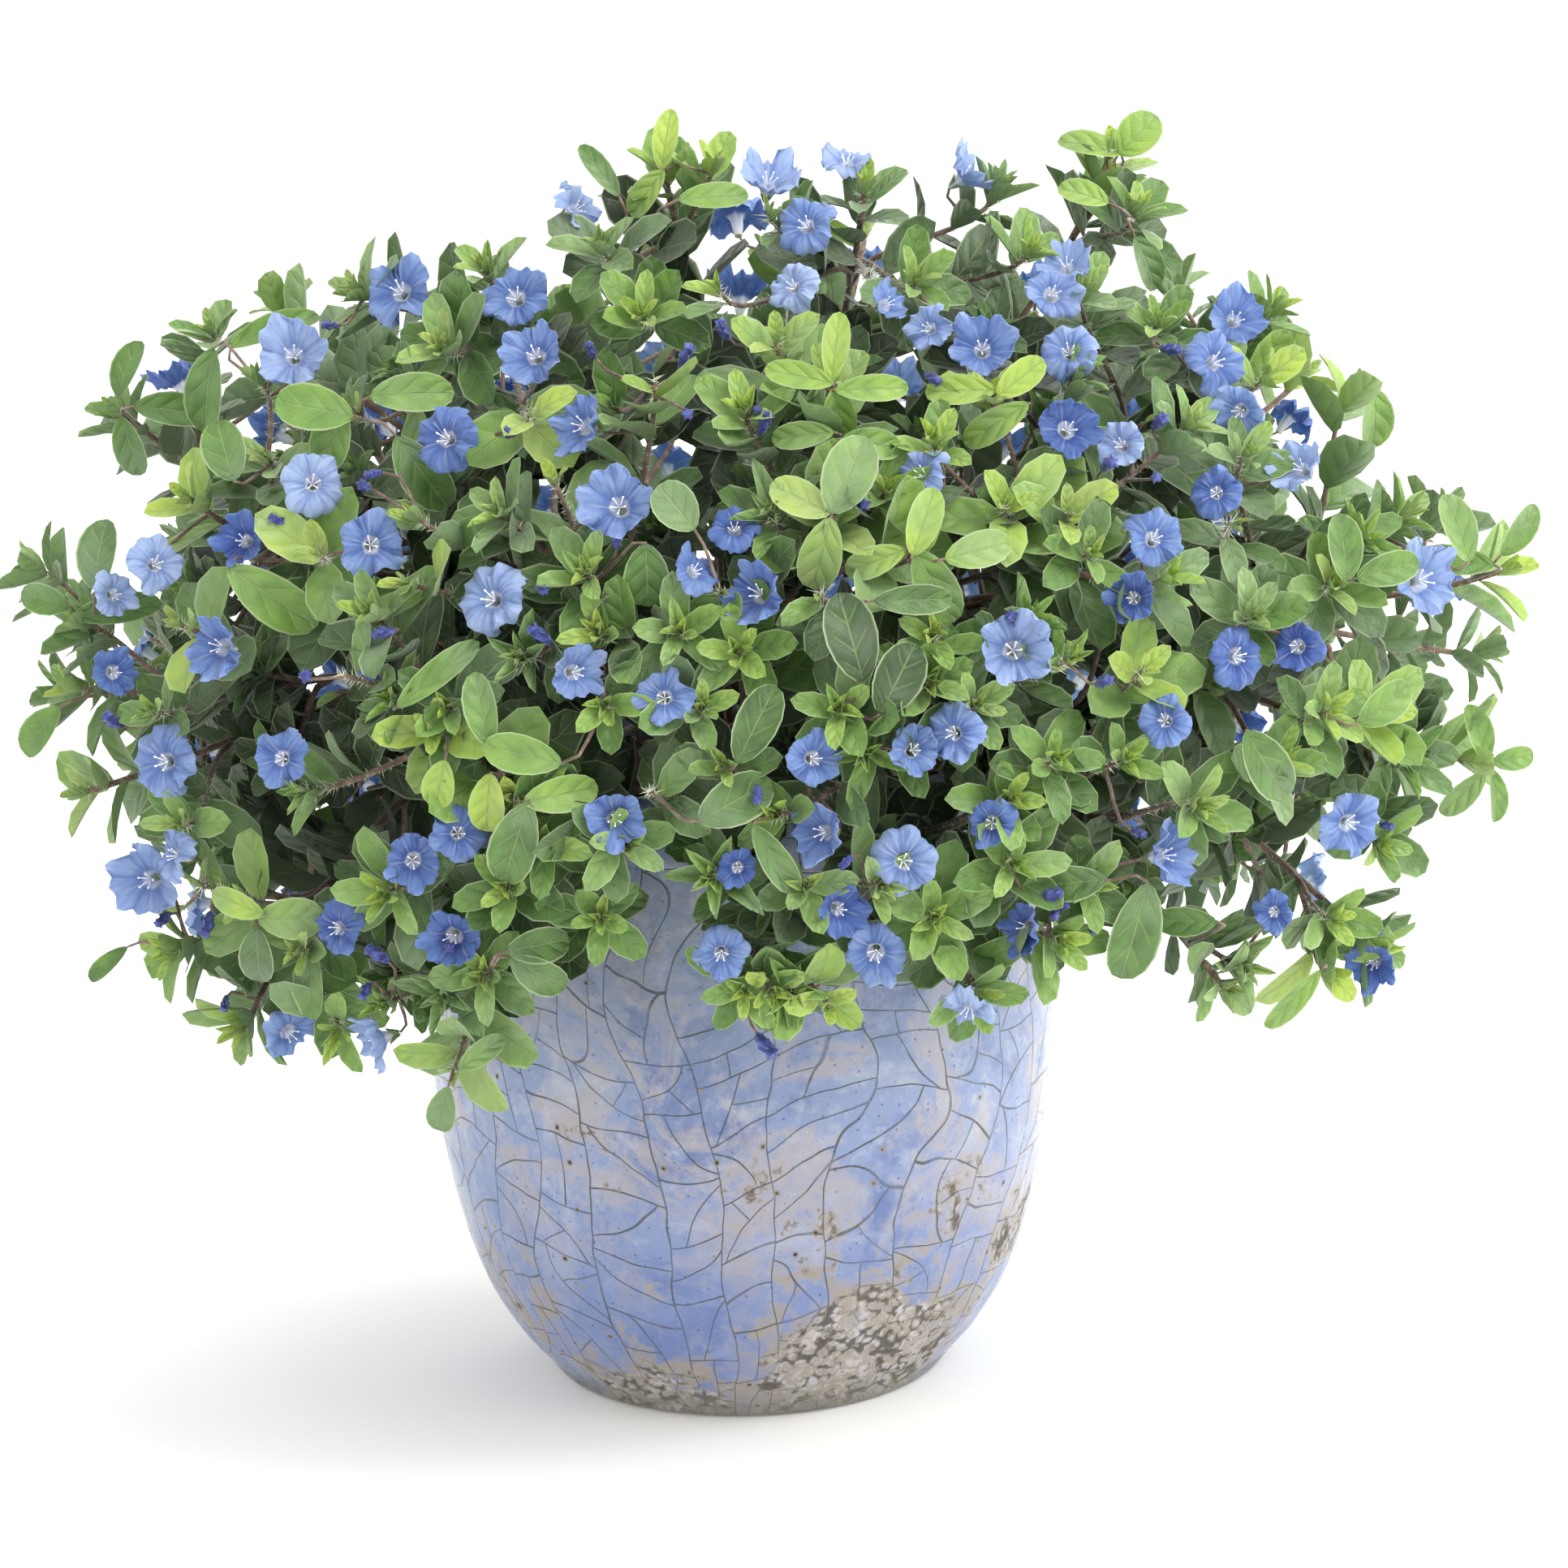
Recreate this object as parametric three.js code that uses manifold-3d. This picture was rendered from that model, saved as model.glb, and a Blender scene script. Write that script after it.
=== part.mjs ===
// A potted dwarf morning glory: a round crackle-glazed pot with its soil and root ball,
// the woody crown in the middle of the soil, leafy branches that arch out of the crown and
// hang over the rim, and blue funnel flowers on the branches.
// Millimetres, +Z up. The origin is the middle of the pot's flat foot, on the ground.
// The front of the plant is towards -Y.

import * as THREE from "three";
import { mergeVertices } from "three/addons/utils/BufferGeometryUtils.js";
import Module from "manifold-3d";

const wasm = await Module();
wasm.setup();

// Gap between two pieces that rest on each other
const SEAT_GAP = 0.3;

// Two solids that share less than this many cubic millimetres are clear of each other
const TOUCH_VOLUME = 1e-6;

// Pot: radius and height of the outside, from the edge of the foot up to the rim
const POT_OUTSIDE = [
  [62.5, 0], [66.5, 6], [74, 14], [82, 26], [89, 42], [93.8, 62],
  [98.8, 90], [100.4, 118], [100.6, 140], [99.3, 168], [96.6, 200],
];
const POT_HEIGHT = 207;
const POT_WALL = 7;
const POT_FLOOR = 10;
const POT_SEGMENTS = 32;
const RIM_ROUND = [[95.4, 205], [92.8, POT_HEIGHT], [90.2, 205]];

// Soil and root ball inside the pot
const SOIL_TOP = 187;
const SOIL_DEPTH = 30;
const SOIL_MOUND = 2.5;
const SOIL_MOUND_AT = 0.7;
const SOIL_FLAT_RADIUS = 28;

// Crown: a low woody knob from which every branch starts
const CROWN_RADIUS = 24;
const CROWN_SEGMENTS = 24;
const CROWN_RINGS = 5;

// Stems
const MAIN_STEM_RADIUS = 1.3;
const SIDE_STEM_RADIUS = 1;
const MAIN_STEM_SIDES = 5;
const SIDE_STEM_SIDES = 4;
const MAIN_STEM_STEPS = 6;
const SIDE_STEM_STEPS = 3;
const SIDE_STEM_SHORTEST = 18;
const STEM_CLEARANCE = 4;
const STEM_SAMPLES = 32;
const SWAYS = [0, 7, -7, 14, -14, 21, -21, 30, -30];
const SWAY_AT_ROOT = 1 / 200;

// How far a stem runs on in its first and last direction, as a share of its span
const MAIN_STEM_REACH = [0.42, 0.38];
const SIDE_STEM_REACH = [0.3, 0.3];

// What makes a fork a poor choice, in millimetres: each radian of turn and each shoot already there
const FORK_TURN_COST = 40;
const FORK_CROWD_COST = 25;

// Leaves
const LEAF_LENGTH = 24;
const LEAF_WIDTH = 14;
const LEAF_THICKNESS = 1.6;
const LEAF_ROOM = 1.12;
const LEAF_TURNS = [0, 35, -35, 70, -70];
const LEAF_RAISE = 0.25;

// Leaves of a stem: share of its length, degrees off the stem, and size, on each side in turn
const MAIN_LEAVES = [[0.98, 55, 0.8], [0.98, 60, 0.8], [0.84, 45, 1], [0.7, 65, 1.1], [0.54, 60, 1.1]];
const SIDE_LEAVES = [[0.97, 50, 0.8], [0.97, 55, 0.8]];

// Flowers: radius and height of the funnel, from its closed base round the rim to the throat
const FUNNEL = [[0, 0], [1.5, 0], [2, 5], [11, 10], [10.7, 10.8], [1.6, 6.6], [0, 6]];
const FUNNEL_SEGMENTS = 8;
const FLOWER_DEPTH = 10;
const STALK_RADIUS = 0.8;
const STALK_LONGEST = 34;
const STALK_SHORTEST = 2;
const STALK_INSIDE = 2;
const STALK_FROM_SHARE = 0.45;
const MOST_FLOWERS = 22;

// The eye that the lists of tips and flowers are read from, in front of the pot
const EYE_DISTANCE = 1700;
const EYE_ELEVATION = THREE.MathUtils.degToRad(13);
const EYE_ROLL = THREE.MathUtils.degToRad(1.6);
const SIGHT = new THREE.Vector3(15.8, 0, 189);
const SIGHT_ACROSS = 12.6;
const SIGHT_UP = 182.5;
const TOWARDS_EYE = new THREE.Vector3(0, -1, 0.25);

// The foliage's outline: height and the largest distance from its middle
const FOLIAGE_MIDDLE = 13;
const FOLIAGE_FLATNESS = 0.84;
const FOLIAGE_HEART = new THREE.Vector3(FOLIAGE_MIDDLE, 0, 215);
const FOLIAGE_TRIES = 24;
const FOLIAGE_OUTLINE = [
  [85, 150], [105, 190], [130, 212], [165, 226], [205, 238], [245, 240],
  [275, 232], [310, 210], [340, 178], [370, 124], [390, 76], [404, 20],
];

// How a branch leaves the crown: degrees that its tip lies above the crown, and degrees above level
const ROOT_LIFT = [[-40, 28], [88, 84]];

// How a branch's tip points at a given height: height and degrees above level
const TIP_LIFT = [[100, -80], [150, -55], [190, -25], [240, 8], [300, 38], [390, 70]];

// Tips of the branches that show: across from the pot's axis, and up, as the eye sees them
const FRONT_TIPS = [
  [-197, 300], [-82, 346], [-26, 378], [38, 370], [116, 382], [168, 333], [209, 267],
  [240, 250], [230, 190], [200, 130], [152, 118], [73, 115], [8, 117], [-91, 92],
  [-158, 106], [-209, 180], [-211, 213], [-176, 273], [-50, 249], [103, 268],
  [27, 267], [-98, 200], [73, 207],
];

// Tips of the branches behind: degrees round from the right, and height
const BACK_TIPS = [
  [14, 214], [34, 300], [50, 170], [66, 262], [78, 345], [96, 205], [112, 318],
  [124, 168], [138, 268], [150, 336], [166, 214],
];

// Tips of the side shoots that show, as the eye sees them
const FRONT_SIDE_TIPS = [
  [-153, 310], [-180, 130], [-13, 206], [-168, 325], [-123, 300], [-45, 352], [-8, 339],
  [80, 370], [77, 306], [106, 338],
  [124, 363], [192, 307], [165, 312], [185, 245], [133, 247], [184, 205], [143, 175],
  [200, 163], [99, 133], [43, 150], [-10, 153], [-37, 163], [-94, 115], [-113, 148],
  [-139, 180], [-127, 217], [-104, 267], [-77, 268], [-179, 233], [-209, 234],
  [-46, 230], [10, 172], [53, 254], [130, 328], [10, 323], [-68, 300], [-128, 104],
];

// Tips of the side shoots behind: degrees round from the right, and height
const BACK_SIDE_TIPS = [
  [22, 255], [28, 190], [44, 330], [58, 215], [60, 300], [84, 235], [90, 300],
  [104, 260], [106, 170], [120, 230], [130, 310], [146, 215], [152, 292], [172, 260],
];

// Middles of the flowers that show, as the eye sees them
const FRONT_FLOWERS = [
  [-184, 192], [-187, 152], [211, 246], [191, 170], [171, 228], [132, 262], [85, 227],
  [-82, 241], [-38, 270], [-117, 257], [23, 192], [50, 160], [-109, 337], [152, 327],
  [17, 357], [-145, 105],
];

// Middles of the flowers behind: degrees round from the right, and height
const BACK_FLOWERS = [
  [24, 232], [40, 282], [62, 322], [85, 215], [92, 322], [112, 290], [135, 236], [155, 312],
];

// Colours and finishes
const FINISHES = {
  glaze: { color: 0x8fa3cf, roughness: 0.18, metalness: 0 },
  soil: { color: 0x3a2a20, roughness: 0.95, metalness: 0 },
  roots: { color: 0x6a5138, roughness: 0.95, metalness: 0 },
  bark: { color: 0x6b5038, roughness: 0.85, metalness: 0 },
  leaf: { color: 0x55803f, roughness: 0.6, metalness: 0 },
  petal: { color: 0x6088d0, roughness: 0.55, metalness: 0 },
};

const UP = new THREE.Vector3(0, 0, 1);

// Value at x on a line through [x, value] pairs in rising order of x
function between(pairs, x) {
  const last = pairs[pairs.length - 1];
  if (x <= pairs[0][0]) return pairs[0][1];
  for (let i = 1; i < pairs.length; i += 1) {
    const [x0, y0] = pairs[i - 1];
    const [x1, y1] = pairs[i];
    if (x <= x1) return y0 + ((y1 - y0) * (x - x0)) / (x1 - x0);
  }
  return last[1];
}

// The point at a given distance back (+Y) that the eye sees at across, up
function seen(across, up, y) {
  const right = new THREE.Vector3(1, 0, 0);
  const lift = new THREE.Vector3(0, Math.sin(EYE_ELEVATION), Math.cos(EYE_ELEVATION));
  const ahead = new THREE.Vector3(0, Math.cos(EYE_ELEVATION), -Math.sin(EYE_ELEVATION));
  const a = across - SIGHT_ACROSS;
  const b = up - SIGHT_UP;
  const level = a * Math.cos(EYE_ROLL) + b * Math.sin(EYE_ROLL);
  const upright = b * Math.cos(EYE_ROLL) - a * Math.sin(EYE_ROLL);
  const eye = SIGHT.clone().addScaledVector(ahead, -EYE_DISTANCE);
  const ray = SIGHT.clone().addScaledVector(right, level).addScaledVector(lift, upright).sub(eye);
  return eye.addScaledVector(ray, (y - eye.y) / ray.y);
}

// The distance back of the foliage's front at a point's height and side
function foliageFront(point) {
  const reach = between(FOLIAGE_OUTLINE, point.z);
  const side = point.x - FOLIAGE_MIDDLE;
  return -FOLIAGE_FLATNESS * Math.sqrt(Math.max(0, reach * reach - side * side));
}

// The point on the foliage's front that the eye sees at across, up
function onFoliage(across, up) {
  let y = -50;
  for (let i = 0; i < FOLIAGE_TRIES; i += 1) {
    y = (y + foliageFront(seen(across, up, y))) / 2;
  }
  return seen(across, up, y);
}

// The point on the foliage at degrees round from the right and a height
function roundFoliage(degrees, height) {
  const reach = between(FOLIAGE_OUTLINE, height);
  const turn = THREE.MathUtils.degToRad(degrees);
  return new THREE.Vector3(
    FOLIAGE_MIDDLE + reach * Math.cos(turn),
    FOLIAGE_FLATNESS * reach * Math.sin(turn),
    height,
  );
}

// A geometry with one vertex at each corner and no empty triangles
function welded(geometry) {
  const plain = geometry.index ? geometry.clone() : geometry;
  plain.deleteAttribute("normal");
  plain.deleteAttribute("uv");
  const merged = mergeVertices(plain, 1e-4);
  const kept = [];
  const index = merged.index.array;
  for (let i = 0; i < index.length; i += 3) {
    const [a, b, c] = [index[i], index[i + 1], index[i + 2]];
    if (a !== b && b !== c && c !== a) kept.push(a, b, c);
  }
  merged.setIndex(kept);
  return merged;
}

// A closed geometry as a solid that can be joined and cut
function solidOf(geometry) {
  const mesh = welded(geometry);
  return new wasm.Manifold(new wasm.Mesh({
    numProp: 3,
    vertProperties: new Float32Array(mesh.attributes.position.array),
    triVerts: new Uint32Array(mesh.index.array),
  }));
}

// A joined or cut solid back as a geometry
function geometryOf(solid) {
  const mesh = solid.getMesh();
  const geometry = new THREE.BufferGeometry();
  geometry.setAttribute("position", new THREE.BufferAttribute(new Float32Array(mesh.vertProperties), 3));
  geometry.setIndex([...mesh.triVerts]);
  return geometry;
}

// A turned shape about +Z from [radius, height] pairs that start and end on the axis
function turned(pairs, segments) {
  const points = pairs.map(([radius, height]) => new THREE.Vector2(radius, height));
  return welded(new THREE.LatheGeometry(points, segments)).rotateX(Math.PI / 2);
}

// A round stem along a curve
function stemGeometry(curve, radius, sides, steps) {
  const section = new THREE.Shape();
  for (let i = 0; i < sides; i += 1) {
    const turn = (2 * Math.PI * i) / sides;
    const [x, y] = [radius * Math.cos(turn), radius * Math.sin(turn)];
    if (i === 0) section.moveTo(x, y);
    else section.lineTo(x, y);
  }
  section.closePath();
  return new THREE.ExtrudeGeometry(section, { steps, bevelEnabled: false, extrudePath: curve });
}

// The inside radius of the pot at a height
function potInside(height) {
  return between(POT_OUTSIDE.map(([radius, z]) => [z, radius]), height) - POT_WALL;
}

function potGeometry() {
  const heights = POT_OUTSIDE.map(([, z]) => z).filter((z) => z > POT_FLOOR);
  const inside = heights.reverse().map((z) => [potInside(z), z]);
  const floor = [[potInside(POT_FLOOR), POT_FLOOR], [0, POT_FLOOR]];
  return turned([[0, 0], ...POT_OUTSIDE, ...RIM_ROUND, ...inside, ...floor], POT_SEGMENTS);
}

// Soil or roots that fill the pot from one height to another, SEAT_GAP clear of the wall
function fillGeometry(low, high, mound) {
  const bends = POT_OUTSIDE.map(([, z]) => z).filter((z) => z > low + 2 && z < high - 2);
  const wall = [low, ...bends, high].map((z) => [potInside(z) - 2 * SEAT_GAP, z]);
  const mounded = [[potInside(high) * SOIL_MOUND_AT, high + mound], [SOIL_FLAT_RADIUS, high]];
  const top = mound > 0 ? mounded : [];
  return turned([[0, low], ...wall, ...top, [0, high]], POT_SEGMENTS);
}

// The crown's flat underside lies on the soil
function crownGeometry() {
  const dome = [];
  for (let i = 0; i < CROWN_RINGS; i += 1) {
    const turn = (Math.PI / 2) * (i / CROWN_RINGS);
    dome.push([CROWN_RADIUS * Math.cos(turn), CROWN_RADIUS * Math.sin(turn)]);
  }
  return turned([[0, 0], ...dome, [0, CROWN_RADIUS]], CROWN_SEGMENTS).translate(0, 0, SOIL_TOP + SEAT_GAP);
}

// The curve of a main branch from the crown to its tip, swayed sideways by some millimetres
function branchCurve(tip, sway) {
  const flat = new THREE.Vector3(tip.x, tip.y, 0);
  const reach = flat.length();
  const outward = flat.normalize();
  const sideways = new THREE.Vector3(-outward.y, outward.x, 0);
  const root = new THREE.Vector3(0, 0, SOIL_TOP + SEAT_GAP);
  const rise = THREE.MathUtils.radToDeg(Math.atan2(tip.z - root.z, reach));
  const lean = THREE.MathUtils.degToRad(between(ROOT_LIFT, rise));
  const start = outward.clone().multiplyScalar(Math.cos(lean)).addScaledVector(UP, Math.sin(lean));
  start.addScaledVector(sideways, sway * SWAY_AT_ROOT).normalize();
  const lift = THREE.MathUtils.degToRad(between(TIP_LIFT, tip.z));
  const end = outward.clone().multiplyScalar(Math.cos(lift)).addScaledVector(UP, Math.sin(lift));
  const foot = root.clone().addScaledVector(start, CROWN_RADIUS + SEAT_GAP);
  const length = foot.distanceTo(tip);
  const first = foot.clone().addScaledVector(start, length * MAIN_STEM_REACH[0]);
  const second = tip.clone().addScaledVector(end, -length * MAIN_STEM_REACH[1]);
  second.addScaledVector(sideways, sway);
  return new THREE.CubicBezierCurve3(foot, first, second, tip);
}

// The curve of a side shoot that leaves a branch at a share of its length
function sideCurve(branch, share, tip) {
  const foot = branch.getPointAt(share);
  const along = branch.getTangentAt(share);
  const length = foot.distanceTo(tip);
  const lift = THREE.MathUtils.degToRad(between(TIP_LIFT, tip.z));
  const flat = new THREE.Vector3(tip.x - foot.x, tip.y - foot.y, 0).normalize();
  const end = flat.multiplyScalar(Math.cos(lift)).addScaledVector(UP, Math.sin(lift));
  const first = foot.clone().addScaledVector(along, length * SIDE_STEM_REACH[0]);
  const second = tip.clone().addScaledVector(end, -length * SIDE_STEM_REACH[1]);
  return new THREE.CubicBezierCurve3(foot, first, second, tip);
}

// The least distance between two runs of points
function apart(one, other) {
  let least = Infinity;
  for (const a of one) {
    for (const b of other) least = Math.min(least, a.distanceTo(b));
  }
  return least;
}

// The main branch to a tip, with the least sway that keeps it clear of the earlier ones
function clearBranch(tip, earlier) {
  let best = null;
  for (const sway of SWAYS) {
    const curve = branchCurve(tip, sway);
    const points = curve.getSpacedPoints(STEM_SAMPLES);
    const room = Math.min(Infinity, ...earlier.map((branch) => apart(points, branch.points)));
    if (best === null || room > best.room) best = { curve, points, room };
    if (room >= STEM_CLEARANCE) return { curve, points, room };
  }
  return best;
}

// The branch and the share of its length from which a side shoot reaches a tip soonest
function bestFork(tip, branches) {
  let best = { cost: Infinity };
  branches.forEach((branch, owner) => {
    for (let step = MAIN_STEM_STEPS / 2; step < MAIN_STEM_STEPS; step += 1) {
      const share = step / MAIN_STEM_STEPS;
      const foot = branch.curve.getPointAt(share);
      const way = tip.clone().sub(foot);
      const length = way.length();
      const turn = way.angleTo(branch.curve.getTangentAt(share));
      const cost = length + FORK_TURN_COST * turn + FORK_CROWD_COST * branch.sides.length;
      if (length > SIDE_STEM_SHORTEST && cost < best.cost) best = { cost, owner, share };
    }
  });
  return best;
}

// A placed solid with its box, so that far pieces are skipped quickly
function placed(solid, owner) {
  const { min, max } = solid.boundingBox();
  const box = new THREE.Box3(new THREE.Vector3(...min), new THREE.Vector3(...max));
  return { solid, owner, box };
}

// Whether a solid runs into a placed piece of another owner
function runsInto(piece, others) {
  return others.some((other) => other.owner !== piece.owner
    && other.box.intersectsBox(piece.box)
    && other.solid.intersect(piece.solid).volume() > TOUCH_VOLUME);
}

// A leaf blade from its foot along a direction, turned about it, with room to spare round it
function leafSolid(foot, along, degrees, length, room) {
  const side = new THREE.Vector3().crossVectors(UP, along).normalize();
  const face = new THREE.Vector3().crossVectors(along, side).normalize();
  const width = (LEAF_WIDTH * room * length) / LEAF_LENGTH;
  const blade = new THREE.OctahedronGeometry(1, 0);
  blade.scale(length / 2, width / 2, (LEAF_THICKNESS * room) / 2);
  blade.translate(length / 2, 0, 0);
  blade.rotateX(THREE.MathUtils.degToRad(degrees));
  const frame = new THREE.Matrix4().makeBasis(along, side, face).setPosition(foot);
  return solidOf(blade.applyMatrix4(frame));
}

// Where the leaves of a stem stand, the way they point and their size
function leafSeats(curve, steps, shares) {
  const stations = curve.getSpacedPoints(steps);
  const seats = [];
  shares.forEach(([share, spread, size], i) => {
    const at = share * steps;
    const low = Math.min(steps - 1, Math.floor(at));
    const foot = stations[low].clone().lerp(stations[low + 1], at - low);
    const along = stations[low + 1].clone().sub(stations[low]).normalize();
    const side = new THREE.Vector3().crossVectors(UP, along).normalize();
    const hand = i % 2 === 0 ? 1 : -1;
    const lean = THREE.MathUtils.degToRad(spread);
    const way = along.clone().multiplyScalar(Math.cos(lean)).addScaledVector(side, hand * Math.sin(lean));
    way.addScaledVector(UP, LEAF_RAISE).normalize();
    seats.push({ foot, way, size });
  });
  return seats;
}

// A stalk and funnel from a seat on a stem to the middle of the flower
function flowerSolid(seat, middle, facing, room) {
  const funnel = turned(FUNNEL, FUNNEL_SEGMENTS).scale(room, room, 1);
  const base = middle.clone().addScaledVector(facing, -FLOWER_DEPTH);
  const turn = new THREE.Quaternion().setFromUnitVectors(UP, facing);
  funnel.applyQuaternion(turn).translate(base.x, base.y, base.z);
  const inside = base.clone().addScaledVector(facing, STALK_INSIDE);
  const stalk = new THREE.LineCurve3(seat, inside);
  return solidOf(funnel).add(solidOf(stemGeometry(stalk, STALK_RADIUS * room, SIDE_STEM_SIDES, 1)));
}

// The spot on the axis of any stem nearest to a point, its distance and that stem's radius
function nearestStem(point, stems) {
  let best = { gap: Infinity };
  for (const stem of stems) {
    for (let i = Math.ceil(stem.stations.length * STALK_FROM_SHARE); i < stem.stations.length; i += 1) {
      const run = new THREE.Line3(stem.stations[i - 1], stem.stations[i]);
      const spot = run.closestPointToPoint(point, true, new THREE.Vector3());
      const gap = spot.distanceTo(point);
      if (gap < best.gap) best = { gap, spot, radius: stem.radius };
    }
  }
  return best;
}

const root = new THREE.Group();

function addPiece(name, geometry, finish) {
  const mesh = new THREE.Mesh(geometry, new THREE.MeshStandardMaterial(FINISHES[finish]));
  mesh.name = name;
  root.add(mesh);
}

function numbered(word, i) {
  return `${word}_${String(i + 1).padStart(2, "0")}`;
}

const pot = potGeometry();
const rootBall = fillGeometry(POT_FLOOR + SEAT_GAP, SOIL_TOP - SOIL_DEPTH, 0);
const soil = fillGeometry(SOIL_TOP - SOIL_DEPTH + SEAT_GAP, SOIL_TOP, SOIL_MOUND);
const crown = crownGeometry();
addPiece("pot", pot, "glaze");
addPiece("root_ball", rootBall, "roots");
addPiece("potting_soil", soil, "soil");
addPiece("woody_crown", crown, "bark");

const fixed = [pot, soil, crown].map((geometry) => placed(solidOf(geometry), "pot"));

// Main branches
const tips = [
  ...FRONT_TIPS.map(([across, up]) => onFoliage(across, up)),
  ...BACK_TIPS.map(([degrees, height]) => roundFoliage(degrees, height)),
];
const branches = [];
for (const tip of tips) {
  branches.push({ ...clearBranch(tip, branches), sides: [] });
}
const pieces = [...fixed];
const stems = [];
branches.forEach((branch, owner) => {
  const geometry = stemGeometry(branch.curve, MAIN_STEM_RADIUS, MAIN_STEM_SIDES, MAIN_STEM_STEPS);
  branch.solid = solidOf(geometry);
  pieces.push(placed(branch.solid, owner));
  stems.push({ stations: branch.curve.getSpacedPoints(MAIN_STEM_STEPS), radius: MAIN_STEM_RADIUS });
});

// Side shoots
const sideTips = [
  ...FRONT_SIDE_TIPS.map(([across, up]) => onFoliage(across, up)),
  ...BACK_SIDE_TIPS.map(([degrees, height]) => roundFoliage(degrees, height)),
];
for (const tip of sideTips) {
  const { owner, share } = bestFork(tip, branches);
  const branch = branches[owner];
  const curve = sideCurve(branch.curve, share, tip);
  const solid = solidOf(stemGeometry(curve, SIDE_STEM_RADIUS, SIDE_STEM_SIDES, SIDE_STEM_STEPS));
  const piece = placed(solid, owner);
  if (!runsInto(piece, pieces)) {
    branch.sides.push(curve);
    branch.solid = branch.solid.add(solid);
    pieces.push(piece);
    stems.push({ stations: curve.getSpacedPoints(SIDE_STEM_STEPS), radius: SIDE_STEM_RADIUS });
  }
}

// Flowers
const flowerMiddles = [
  ...FRONT_FLOWERS.map(([across, up]) => ({ middle: onFoliage(across, up), view: TOWARDS_EYE })),
  ...BACK_FLOWERS.map(([degrees, height]) => ({ middle: roundFoliage(degrees, height), view: UP })),
];
const flowers = [];
flowerMiddles.forEach(({ middle, view }) => {
  const facing = middle.clone().sub(FOLIAGE_HEART).normalize().add(view).normalize();
  const base = middle.clone().addScaledVector(facing, -FLOWER_DEPTH);
  const { gap, spot, radius } = nearestStem(base, stems);
  const clear = radius + SEAT_GAP;
  if (gap - clear < STALK_SHORTEST || gap > STALK_LONGEST) return;
  const seat = spot.clone().addScaledVector(base.clone().sub(spot).normalize(), clear);
  const owner = numbered("flower", flowers.length);
  const roomy = placed(flowerSolid(seat, middle, facing, LEAF_ROOM), owner);
  const exact = placed(flowerSolid(seat, middle, facing, 1), owner);
  if (flowers.length < MOST_FLOWERS && !runsInto(exact, pieces)) {
    pieces.push(roomy);
    flowers.push(exact.solid);
  }
});

// Leaves
branches.forEach((branch, owner) => {
  const seats = leafSeats(branch.curve, MAIN_STEM_STEPS, MAIN_LEAVES);
  branch.sides.forEach((side) => seats.push(...leafSeats(side, SIDE_STEM_STEPS, SIDE_LEAVES)));
  for (const { foot, way, size } of seats) {
    const length = LEAF_LENGTH * size;
    const turn = LEAF_TURNS.find((degrees) => {
      const roomy = placed(leafSolid(foot, way, degrees, length * LEAF_ROOM, LEAF_ROOM), owner);
      return !runsInto(roomy, pieces);
    });
    if (turn !== undefined) {
      const solid = leafSolid(foot, way, turn, length, 1);
      pieces.push(placed(solid, owner));
      branch.solid = branch.solid.add(solid);
    }
  }
  addPiece(numbered("branch", owner), geometryOf(branch.solid), "leaf");
});
flowers.forEach((solid, i) => addPiece(numbered("flower", i), geometryOf(solid), "petal"));

export default root;
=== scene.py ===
"""A potted dwarf morning glory: a round crackle-glazed pot, its soil and woody crown, arching leafy stems
with rosettes at their tips, blue funnel flowers, spent flowers and silvery hairs.

Places and sizes of the plant are worked out in millimetres, as in the part's source, and become metres where
a mesh is made."""

import logging
import math
import random
from collections.abc import Callable, Iterable
from dataclasses import dataclass, field
from enum import Enum
from functools import partial

import bmesh
import bpy
import numpy as np
from mathutils import Matrix, Vector


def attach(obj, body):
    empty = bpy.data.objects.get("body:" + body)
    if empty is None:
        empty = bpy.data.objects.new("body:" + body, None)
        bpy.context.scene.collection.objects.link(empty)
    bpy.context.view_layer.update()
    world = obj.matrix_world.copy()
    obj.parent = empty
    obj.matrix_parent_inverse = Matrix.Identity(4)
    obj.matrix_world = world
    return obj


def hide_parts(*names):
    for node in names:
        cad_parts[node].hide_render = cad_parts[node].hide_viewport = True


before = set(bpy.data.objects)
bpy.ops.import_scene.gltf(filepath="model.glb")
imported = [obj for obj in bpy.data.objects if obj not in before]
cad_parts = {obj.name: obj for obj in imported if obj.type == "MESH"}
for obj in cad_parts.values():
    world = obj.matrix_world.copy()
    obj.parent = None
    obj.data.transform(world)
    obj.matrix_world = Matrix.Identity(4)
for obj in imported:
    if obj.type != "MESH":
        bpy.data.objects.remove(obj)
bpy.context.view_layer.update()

MM = 0.001
BODY = "root"
UP = np.array([0.0, 0.0, 1.0])
GOLDEN_TURN = math.radians(137.5)

# A flower pattern's width and depth, and the sepals that hold it, in mm
BLOOM_WIDTH = 22
BLOOM_DEPTH = 9
SEPALS = 5
SEPAL_LENGTH = 4.8

log = logging.getLogger("plant")
Socket = bpy.types.NodeSocket
NodeMaker = Callable[..., bpy.types.bpy_prop_collection]

# Outside of the pot: radius and height in mm, as in the part's source
POT_OUTSIDE = [
    (62.5, 0), (66.5, 6), (74, 14), (82, 26), (89, 42), (93.8, 62),
    (98.8, 90), (100.4, 118), (100.6, 140), (99.3, 168), (96.6, 200),
]
POT_RIM = [(95.9, 203.5), (95.0, 205.6), (92.8, 207), (90.6, 205.6), (89.8, 203)]
POT_WALL = 7
POT_FLOOR = 10
SOIL_TOP = 187
CROWN_RADIUS = 24
SEAT_GAP = 0.3

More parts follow.
